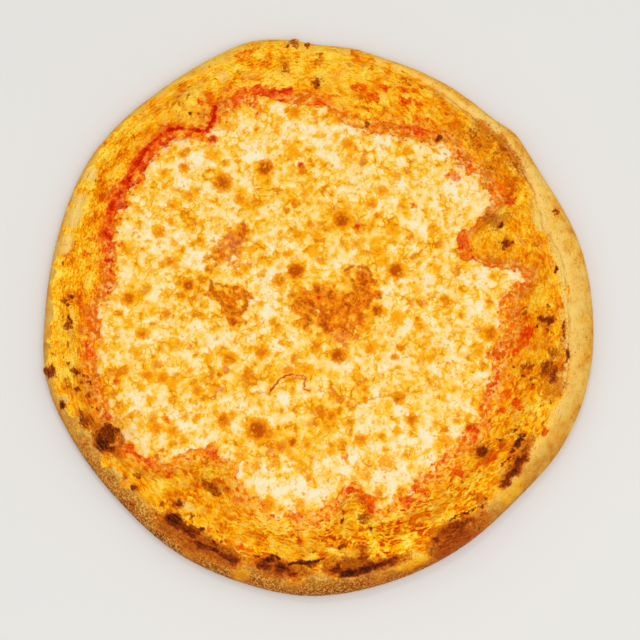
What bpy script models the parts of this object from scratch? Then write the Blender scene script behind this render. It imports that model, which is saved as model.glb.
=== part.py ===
"""An uncut, hand-stretched cheese pizza, 306 mm wide and 320 mm long, lying flat with the cheese up.

Three solids lie on each other: the baked dough with its puffed rim, a thin layer of tomato sauce
and a slab of melted cheese with a ragged edge. Each is turned as a round blank from one section
and then pulled to its hand-made shape, sector by sector. The origin is in the middle of the flat
bottom, +Z is up, and 0 degrees is +X. Metres throughout.
"""

import math

import bmesh
import bpy
from mathutils import Matrix, Vector

MM = 0.001

# How finely the round blanks are divided: round the axis, and along the section by angle on the outer
# wall and on the lip, and by share of the way down the rim and out across the cheese.
SECTORS = 180
WALL_STEPS = (-90, -55, -25, 0)
LIP_STEPS = (20, 42, 66, 90)
SLOPE_STEPS = (0, 0.16, 0.32, 0.48, 0.64, 0.82)
CHEESE_STEPS = (0.94, 0.78, 0.6, 0.42, 0.22, 0)

# Dough: the flat middle, the rim's widest line, and how far the foot is tucked in under it. The crease
# runs SHOULDER_DROP below the crest, which stands CREST_SHARE of the way from the crease to the sauce.
BED_HEIGHT = 4.5 * MM
WIDEST_HEIGHT = 6.5 * MM
FOOT_TUCK = 8.5 * MM
CREASE_HALF_WIDTH = 1.6 * MM
SHOULDER_DROP = 1.8 * MM
CREST_SHARE = 0.30

# Layers on the dough. Each lies LAYER_GAP clear of the one below. The sauce climbs SAUCE_RISE up the
# rim, shows at least SAUCE_LEAST past the cheese and starts to thin out at SAUCE_BRINK of that way.
LAYER_GAP = 0.3 * MM
SAUCE_THICKNESS = 0.9 * MM
SAUCE_RISE = 1.2 * MM
SAUCE_LEAST = 1.2 * MM
SAUCE_BRINK = 0.65
CHEESE_THICKNESS = 2.6 * MM
CHEESE_EDGE_THICKNESS = 1.5 * MM
CHEESE_BRINK = 0.985
CURD_HEIGHT = 0.5 * MM
WELD = 0.02 * MM

# The rim's outer edge, as (degrees, radius in mm): a hand-stretched round, longer than wide.
OUTER_EDGE = (
    (0, 153), (15, 151.5), (30, 148.5), (38, 150), (43, 152), (48, 149.5), (60, 151), (75, 152.5),
    (83, 155.5), (90, 156.5), (97, 161), (104, 163.5), (112, 161), (125, 158), (145, 157.5),
    (165, 153.5), (180, 153.5), (195, 157), (210, 155), (225, 154.3), (240, 157), (255, 158.5),
    (268, 160), (285, 157), (300, 154.5), (315, 152.3), (330, 155), (345, 155),
)

# The bare bread lip outside the crease, as (degrees, width in mm).
LIP_WIDTH = (
    (0, 15), (12, 14.5), (20, 17), (30, 11), (45, 9.5), (60, 8.5), (75, 7), (92, 12), (110, 11),
    (135, 8), (180, 8), (205, 10), (240, 12), (270, 12), (300, 10), (330, 12), (345, 13.5),
)

# The crease between the lip and the oily top of the rim, as (degrees, depth in mm).
CREASE_DEPTH = ((0, 1.2), (60, 1.4), (100, 1.0), (135, 0.3), (200, 0.3), (240, 0.6), (300, 1.0))

# The rim's crest, as (degrees, height in mm).
CREST_HEIGHT = (
    (0, 18.5), (22, 19), (40, 17), (60, 15.5), (75, 16.5), (90, 15.5), (105, 17), (122, 17.5), (150, 16),
    (165, 15), (180, 15.5), (212, 17), (225, 16), (240, 18), (255, 17.5), (270, 19), (282, 17.5),
    (298, 20), (325, 18), (345, 19),
)

# The cheese's ragged edge, as (degrees, radius in mm): tongues run up the rim and bays show the sauce.
CHEESE_EDGE = (
    (4, 106), (8, 118), (12, 112), (18, 91), (26, 88), (31, 117), (35, 119), (43, 119), (52, 121),
    (60, 118), (76, 110), (90, 121), (98, 126), (108, 133), (114, 131), (119, 125), (125, 125),
    (130, 132), (145, 131), (160, 127), (170, 120), (183, 126), (204, 133), (216, 132), (225, 125),
    (232, 104), (241, 101), (248, 112), (258, 120), (263, 117), (267, 120), (273, 114), (280, 102),
    (286, 118), (295, 117), (310, 110), (321, 110), (332, 107), (347, 104), (356, 106),
)
EDGE_RAGGEDNESS = ((23, 0.9), (37, 0.7), (53, 0.5))

# How far the sauce shows past the cheese, as (degrees, width in mm).
SAUCE_SHOWS = (
    (0, 4), (12, 3), (25, 3), (36, 5), (60, 5), (76, 4), (90, 6), (104, 6), (117, 2), (126, 2), (134, 5),
    (147, 8), (165, 7), (183, 4), (200, 4), (214, 6), (228, 3), (242, 2), (254, 4), (266, 5), (276, 2),
    (284, 2), (292, 5), (320, 6), (345, 6),
)

# Puffed domes of dough, as (degrees, radius, half length along the rim, half length across, height),
# lengths in mm.
DOMES = (
    (122, 138, 16, 14, 4.5),
    (240, 114, 16, 13, 6.5),
    (280, 114, 12, 13, 5.5),
    (24, 113, 10, 24, 4.8),
    (86, 146, 14, 9, 2.0),
    (347, 130, 14, 10, 2.5),
    (300, 144, 17, 10, 1.5),
    (212, 137, 12, 11, 2.5),
    (66, 128, 20, 11, 1.5),
    (318, 128, 16, 12, 1.5),
    (157, 141, 18, 9, 1.2),
)

# Hollows sunk in the rim, laid out in the same way.
HOLLOWS = (
    (91, 135, 9, 11, 3.5),
    (34, 122, 9, 16, 3.0),
    (229, 130, 10, 9, 2.5),
    (108, 140, 15, 9, 1.5),
    (270, 136, 10, 9, 2.5),
    (335, 122, 12, 10, 1.5),
)

# Small blisters that stand on the rim, as (degrees, radius, height of the middle, half length along
# the rim, half length across, half height), lengths in mm.
BLISTERS = (
    (95.3, 156.0, 11.6, 4.0, 3.8, 3.2),
    (97.2, 154.5, 12.6, 1.9, 1.9, 1.9),
    (92.5, 154.6, 11.0, 2.3, 2.3, 2.0),
    (98.1, 141.5, 16.2, 2.9, 2.9, 2.0),
    (193.2, 154.6, 8.0, 3.6, 3.0, 3.4),
    (201.1, 151.6, 11.0, 2.4, 1.9, 1.9),
    (206.8, 143.8, 15.4, 5.0, 2.9, 2.4),
    (212.2, 136.3, 17.4, 8.2, 7.6, 3.4),
    (223.8, 137.3, 14.4, 2.4, 2.4, 1.8),
    (225.3, 143.3, 14.6, 2.4, 2.2, 1.8),
    (347.6, 131.5, 20.0, 3.0, 2.6, 1.8),
    (342.6, 132.0, 19.6, 4.6, 4.2, 2.6),
    (22.3, 143.8, 14.4, 2.2, 2.2, 1.8),
)


def around(pairs, angle):
    """The value at an angle on a smooth closed curve through (degrees, millimetres) pairs, in metres."""
    turn = math.degrees(angle) % 360
    count = len(pairs)
    here = sum(degrees <= turn for degrees, _ in pairs) - 1
    near = [
        (pairs[k % count][0] + 360 * (k // count), pairs[k % count][1])
        for k in range(here - 1, here + 3)
    ]
    (a0, v0), (a1, v1), (a2, v2), (a3, v3) = near
    span = a2 - a1
    share = (turn - a1) / span
    slope_1 = (v2 - v0) / (a2 - a0) * span
    slope_2 = (v3 - v1) / (a3 - a1) * span
    cube = share**3
    square = share**2
    value = (
        (2 * cube - 3 * square + 1) * v1
        + (cube - 2 * square + share) * slope_1
        + (3 * square - 2 * cube) * v2
        + (cube - square) * slope_2
    )
    return value * MM


def ease(share):
    """A smooth step from 0 to 1."""
    share = min(max(share, 0.0), 1.0)
    return share * share * (3 - 2 * share)


def at(angle, radius, height):
    return Vector((radius * math.cos(angle), radius * math.sin(angle), height))


def cheese_radius(angle):
    """How far the cheese reaches, with its small notches."""
    notches = sum(depth * math.sin(count * angle + count) for count, depth in EDGE_RAGGEDNESS)
    return around(CHEESE_EDGE, angle) + notches * MM


def sauce_radius(angle):
    shown = around(CHEESE_EDGE, angle) + around(SAUCE_SHOWS, angle)
    return max(shown, cheese_radius(angle) + SAUCE_LEAST)


def crease_radius(angle):
    return around(OUTER_EDGE, angle) - around(LIP_WIDTH, angle)


def crest_radius(angle):
    crease = crease_radius(angle)
    return crease + CREST_SHARE * (sauce_radius(angle) - crease)


def puff(point, shapes):
    """How far a place on the rim rises under rounded shapes that taper off to their own outline."""
    lift = 0.0
    for degrees, radius, along, across, height in shapes:
        middle = math.radians(degrees)
        outwards = Vector((math.cos(middle), math.sin(middle)))
        offset = point.xy - outwards * radius * MM
        far = math.hypot(offset.cross(outwards) / (along * MM), offset.dot(outwards) / (across * MM))
        lift += height * MM * ease(1.25 * (1 - far))
    return lift


def bed_points(angle):
    """The dough under the sauce, from the middle out: flat, then turning up towards the rim."""
    return (
        at(angle, 0, BED_HEIGHT),
        at(angle, cheese_radius(angle), BED_HEIGHT),
        at(angle, sauce_radius(angle), BED_HEIGHT + SAUCE_RISE),
    )


def crust_section(angle):
    """One sector of the dough, from the middle of the bottom round the rim to the middle of the bed."""
    edge = around(OUTER_EDGE, angle)
    lip = around(LIP_WIDTH, angle) - CREASE_HALF_WIDTH
    crest = around(CREST_HEIGHT, angle)
    shoulder = crest - SHOULDER_DROP
    points = [at(angle, 0, 0)]
    for degrees in WALL_STEPS:
        tilt = math.radians(degrees)
        radius = edge - FOOT_TUCK * (1 - math.cos(tilt))
        points.append(at(angle, radius, WIDEST_HEIGHT * (1 + math.sin(tilt))))
    top = []
    for degrees in LIP_STEPS:
        tilt = math.radians(degrees)
        radius = edge - lip * (1 - math.cos(tilt))
        top.append(at(angle, radius, WIDEST_HEIGHT + (shoulder - WIDEST_HEIGHT) * math.sin(tilt)))
    crease = crease_radius(angle)
    depth = around(CREASE_DEPTH, angle)
    top.append(at(angle, crease, shoulder - depth))
    top.append(at(angle, crease - CREASE_HALF_WIDTH, shoulder + depth / 2))
    bed = bed_points(angle)
    start = crest_radius(angle)
    end = sauce_radius(angle)
    for share in SLOPE_STEPS:
        radius = start + (end - start) * share
        fall = ease(share) * (crest - bed[-1].z)
        top.append(at(angle, radius, crest - fall))
    for point in top:
        point.z += puff(point, DOMES) - puff(point, HOLLOWS)
    return points + top + list(reversed(bed))


def sauce_section(angle):
    """One sector of the sauce: it lies on the bed all over and thins out to nothing up the rim."""
    middle, under_cheese, rim = bed_points(angle)
    brink = under_cheese.lerp(rim, SAUCE_BRINK)
    under = Vector((0, 0, LAYER_GAP))
    over = Vector((0, 0, LAYER_GAP + SAUCE_THICKNESS))
    below = [middle + under, under_cheese + under, rim + under]
    return below + [brink + over, under_cheese + over, middle + over]


def curds(point):
    """Low swells where the grated cheese melted together."""
    wave = (
        math.sin(210 * point.x + 1.3 * math.sin(110 * point.y))
        + math.sin(190 * point.y + 1.7 * math.sin(130 * point.x) + 0.8)
    )
    return wave / 2 * CURD_HEIGHT


def cheese_section(angle):
    """One sector of the cheese: flat below, round at its edge and swelling above."""
    middle, edge, _ = bed_points(angle)
    under = Vector((0, 0, 2 * LAYER_GAP + SAUCE_THICKNESS))
    points = [middle + under, middle.lerp(edge, CHEESE_BRINK) + under]
    points.append(edge + under + Vector((0, 0, CHEESE_EDGE_THICKNESS / 2)))
    points.append(middle.lerp(edge, CHEESE_BRINK) + under + Vector((0, 0, CHEESE_EDGE_THICKNESS)))
    for share in CHEESE_STEPS:
        top = middle.lerp(edge, share) + under + Vector((0, 0, CHEESE_THICKNESS))
        top.z += curds(top)
        points.append(top)
    return points


def turned(name, section, colour, roughness):
    """A closed solid: a blank turned round +Z, then each point moved to its place in its sector."""
    stations = len(section(0.0))
    mesh = bmesh.new()
    station_of = mesh.verts.layers.int.new("station")
    profile = []
    for station, point in enumerate(section(0.0)):
        corner = mesh.verts.new(point)
        corner[station_of] = station
        profile.append(corner)
    lines = [mesh.edges.new(pair) for pair in zip(profile, profile[1:])]
    bmesh.ops.spin(
        mesh,
        geom=profile + lines,
        cent=(0, 0, 0),
        axis=(0, 0, 1),
        angle=2 * math.pi,
        steps=SECTORS,
        use_merge=True,
    )
    for corner in mesh.verts:
        station = corner[station_of]
        if 0 < station < stations - 1:
            corner.co = section(math.atan2(corner.co.y, corner.co.x))[station]
        else:
            corner.co = Vector((0, 0, section(0.0)[station].z))
    bmesh.ops.remove_doubles(mesh, verts=mesh.verts[:], dist=WELD)
    bmesh.ops.triangulate(mesh, faces=mesh.faces[:], quad_method="SHORT_EDGE")
    bmesh.ops.recalc_face_normals(mesh, faces=mesh.faces[:])
    return as_object(name, mesh, colour, roughness)


def as_object(name, mesh, colour, roughness):
    """The shape as a named object in the scene, shaded smooth, with its own finish."""
    data = bpy.data.meshes.new(name)
    mesh.to_mesh(data)
    mesh.free()
    data.shade_smooth()
    data.set_sharp_from_angle(angle=math.radians(50))
    finish = bpy.data.materials.new(name)
    finish.use_nodes = True
    shader = finish.node_tree.nodes["Principled BSDF"]
    shader.inputs["Base Color"].default_value = (*colour, 1)
    shader.inputs["Roughness"].default_value = roughness
    shader.inputs["Metallic"].default_value = 0
    data.materials.append(finish)
    placed = bpy.data.objects.new(name, data)
    bpy.context.scene.collection.objects.link(placed)
    return placed


def add_blisters(crust):
    """Fuses the small round blisters to the rim with one Boolean union."""
    group = bpy.data.collections.new("blisters")
    for number, (degrees, radius, height, along, across, tall) in enumerate(BLISTERS):
        mesh = bmesh.new()
        size = Matrix.Diagonal((across * MM, along * MM, tall * MM, 1))
        turn = Matrix.Rotation(math.radians(degrees), 4, "Z")
        place = Matrix.Translation(at(math.radians(degrees), radius * MM, height * MM))
        bmesh.ops.create_icosphere(mesh, subdivisions=2, radius=1, matrix=place @ turn @ size)
        data = bpy.data.meshes.new(f"blister_{number}")
        mesh.to_mesh(data)
        mesh.free()
        group.objects.link(bpy.data.objects.new(f"blister_{number}", data))
    union = crust.modifiers.new("blisters", "BOOLEAN")
    union.operation = "UNION"
    union.operand_type = "COLLECTION"
    union.collection = group
    union.solver = "EXACT"
    apply_modifiers(crust)
    for blister in list(group.objects):
        bpy.data.objects.remove(blister)
    bpy.data.collections.remove(group)


def apply_modifiers(shape):
    """Puts the evaluated shape in place of the mesh and clears the modifiers."""
    graph = bpy.context.evaluated_depsgraph_get()
    finished = bpy.data.meshes.new_from_object(shape.evaluated_get(graph))
    finished.name = shape.name
    shape.modifiers.clear()
    shape.data = finished


def centre(shapes, by):
    """Moves all the shapes so that the middle of one shape's box is on the Z axis."""
    low = [min(vertex.co[side] for vertex in by.data.vertices) for side in range(2)]
    high = [max(vertex.co[side] for vertex in by.data.vertices) for side in range(2)]
    shift = Matrix.Translation([-(low[side] + high[side]) / 2 for side in range(2)] + [0])
    for shape in shapes:
        shape.data.transform(shift)


for leftover in list(bpy.data.objects):
    bpy.data.objects.remove(leftover)

crust = turned("crust", crust_section, (0.80, 0.50, 0.18), 0.75)
add_blisters(crust)
sauce = turned("sauce", sauce_section, (0.52, 0.03, 0.01), 0.35)
cheese = turned("cheese", cheese_section, (0.93, 0.74, 0.38), 0.40)
centre((crust, sauce, cheese), by=crust)
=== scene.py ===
import math

import bmesh
import bpy
import numpy as np
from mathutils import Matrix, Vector, noise
from mathutils.bvhtree import BVHTree


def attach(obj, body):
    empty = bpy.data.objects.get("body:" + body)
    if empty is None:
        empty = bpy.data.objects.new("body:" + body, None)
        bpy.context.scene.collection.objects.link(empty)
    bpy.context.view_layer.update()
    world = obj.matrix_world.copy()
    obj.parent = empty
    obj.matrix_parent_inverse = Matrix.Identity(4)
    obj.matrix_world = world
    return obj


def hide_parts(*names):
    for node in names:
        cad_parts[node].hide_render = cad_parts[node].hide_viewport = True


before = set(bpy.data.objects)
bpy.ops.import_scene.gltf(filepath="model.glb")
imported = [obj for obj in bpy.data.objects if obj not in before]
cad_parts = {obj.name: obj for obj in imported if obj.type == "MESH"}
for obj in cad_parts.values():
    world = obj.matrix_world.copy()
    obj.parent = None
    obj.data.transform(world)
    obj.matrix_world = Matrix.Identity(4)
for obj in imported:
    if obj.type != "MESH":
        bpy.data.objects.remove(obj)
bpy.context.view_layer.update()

MM = 0.001


# ---- The dough ----------------------------------------------------------------------------------
# One hand-stretched round of wheat dough, baked until its rim puffs up and browns. Flat below, with a
# plain floury lip outside the crease, blisters and scorched patches on top, and one torn air pocket.
# It is the turned solid joined up again, rounded by subdivision, then pushed in and out.

# The point that the outline was stretched from, and how many directions its blank was turned in.
RIM_MIDDLE = np.array((0.444, -0.051)) * MM
SECTORS = 180

# Points closer together than this are one.
SAME = 0.01 * MM

# The bare lip outside the crease, as (degrees, width in mm).
LIP_WIDTH = (
    (0, 15), (12, 14.5), (20, 17), (30, 11), (45, 9.5), (60, 8.5), (75, 7), (92, 12), (110, 11),
    (135, 8), (180, 8), (205, 10), (240, 12), (270, 12), (300, 10), (330, 12), (345, 13.5),
)

# How dark the lip is, how floury and how golden it is, and how strong the crease is: its depth, the painted
# shade in it and the painted highlight on the ridge beside it, all round, from 0 to 1.
LIP_DARKNESS = (
    (0, 0.32), (20, 0.29), (45, 0.31), (60, 0.3), (80, 0.22), (100, 0.12), (130, 0.2), (150, 0.28),
    (180, 0.3), (200, 0.4), (215, 0.6), (230, 0.8), (245, 0.86), (260, 0.86), (270, 0.9), (285, 1),
    (300, 0.96), (312, 0.64), (325, 0.42), (345, 0.34),
)
FLOUR = (
    (0, 0.2), (30, 0.1), (90, 0.1), (150, 0.3), (200, 0.6), (230, 1), (260, 1), (290, 0.7), (315, 0.6),
    (340, 0.25),
)
GOLDEN = (
    (0, 0.1), (30, 0.25), (50, 0.45), (75, 0.6), (100, 0.9), (130, 0.75), (160, 0.35), (185, 0.3),
    (210, 0.4), (240, 0.7), (270, 0.6), (300, 0.6), (325, 0.3), (345, 0.1),
)
CREASE_SHADE = (
    (0, 0.6), (20, 0.6), (30, 0.8), (45, 0.9), (60, 0.8), (75, 0.5), (90, 0.15), (130, 0), (200, 0),
    (215, 0.2), (240, 0.3), (255, 0.3), (275, 0.7), (290, 0.8), (300, 0.6), (315, 0.2), (330, 0.2),
    (345, 0.5),
)

# Marks were read off the photograph, which looks down at ELEVATION from DISTANCE. Its pixel
# PICTURE_MIDDLE shows the point READING_MIDDLE, and there a pixel is PIXEL wide, both in mm. Marks are
# rounded to READING_STEP mm, which is finer than the readings themselves.
ELEVATION = math.radians(77)
DISTANCE = 1.10
PICTURE_MIDDLE = (319.5, 320)
READING_MIDDLE = (0.731, -5.981, 5)
PIXEL = 0.56
READING_STEP = 0.5

# How high the marks lie, in mm: on the cheese, on its blisters, on the rim's slope and on its top.
CHEESE_TOP = 8
BLISTER_TOP = 9
SLOPE_TOP = 12
RIM_TOP = 16


def stepped(length):
    return round(length / READING_STEP) * READING_STEP


def read_off(height, readings):
    """Marks in mm, from readings of (pixels across, pixels down, sizes in pixels, strength)."""
    back = DISTANCE / MM * math.cos(ELEVATION)
    above = DISTANCE / MM * math.sin(ELEVATION)
    marks = []
    for across, down, *sizes, strength in readings:
        right = (across - PICTURE_MIDDLE[0]) * PIXEL
        up = (PICTURE_MIDDLE[1] - down) * PIXEL
        forward = back + up * math.sin(ELEVATION)
        share = (above + READING_MIDDLE[2] - height) / (above - up * math.cos(ELEVATION))
        x = right * share + READING_MIDDLE[0]
        y = forward * share - back + READING_MIDDLE[1]
        marks.append((stepped(x), stepped(y), *[stepped(size * PIXEL) for size in sizes], strength))
    return tuple(marks)


# Marks are ovals given as (x, y, half length along the rim, half width across it, strength). Those in
# read_off are readings, and the others are in mm, where they lie on the baked pizza. A dent's or bump's
# strength is its depth or height in mm.
DENTS = (
    (-59.5, 119, 2, 6, 1.4), (-74, 103.5, 9, 1.6, 1),
) + read_off(RIM_TOP, (
    (316.4, 77.3, 4.5, 5.5, 1.5), (340.4, 547, 4.5, 3.5, 1.2), (482, 451, 5, 5, 1.5),
    (499.2, 225.9, 3, 3.5, 2.5), (177.2, 503.3, 4, 4, 3), (186, 507, 8, 4, 1.5),
    (342.4, 510.5, 3, 1.2, 0.8), (341.9, 520.5, 1.8, 3.2, 1.2), (370, 526.8, 1.6, 3, 1.2),
    (206, 484, 9, 3, 1.5), (213, 491, 6, 3, 1.2), (166.5, 474.5, 3, 3, 1), (482, 500, 2.5, 8, 1.2),
    (471, 509.5, 9, 1.5, 0.8), (455, 517, 9, 1.5, 0.7), (296, 573, 7, 5, 1.2), (374.5, 70, 4, 4, 0.5),
    (544.5, 209.5, 6, 1.6, 0.9), (547.8, 220.5, 6.5, 1.4, 1), (546, 232.5, 6.5, 1.4, 0.9),
    (505, 219, 8, 4, 1),
))
BUMPS = (
    (-73, 115.5, 7.5, 6, 3), (-27, 134, 7, 3, 0.7),
) + read_off(RIM_TOP, (
    (294, 41.6, 4.6, 4.6, 0.8), (286, 45.6, 3, 3, 0.5), (307, 43.4, 3.5, 3.5, 0.5),
    (284.3, 66, 5, 5, 0.7), (374.5, 70, 9, 9, 0.7), (326, 60, 11, 8, 0.6), (359.8, 549.8, 6, 6, 0.9),
    (193, 517.6, 9, 4.5, 0.9), (550.8, 355.6, 5.5, 5.5, 0.8), (489.8, 507, 8, 6, 0.9),
    (217, 480, 18, 11, 0.8), (350.6, 503.9, 12, 11, 0.8), (494, 211.5, 3, 18, 1.6),
    (554.8, 212.1, 3.5, 3.5, 0.5), (104.5, 438, 12, 11, 0.9), (84.6, 419.5, 9.5, 5.5, 0.7),
    (49, 370.4, 6, 5.5, 0.5), (62, 403, 4.5, 4, 0.5), (547, 373, 9, 8, 0.5), (490, 249, 4, 10, 0.7),
    (133, 488, 4, 4, 0.4), (137.5, 474, 4, 4, 0.4), (132, 502, 3, 3, 0.3),
))
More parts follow.
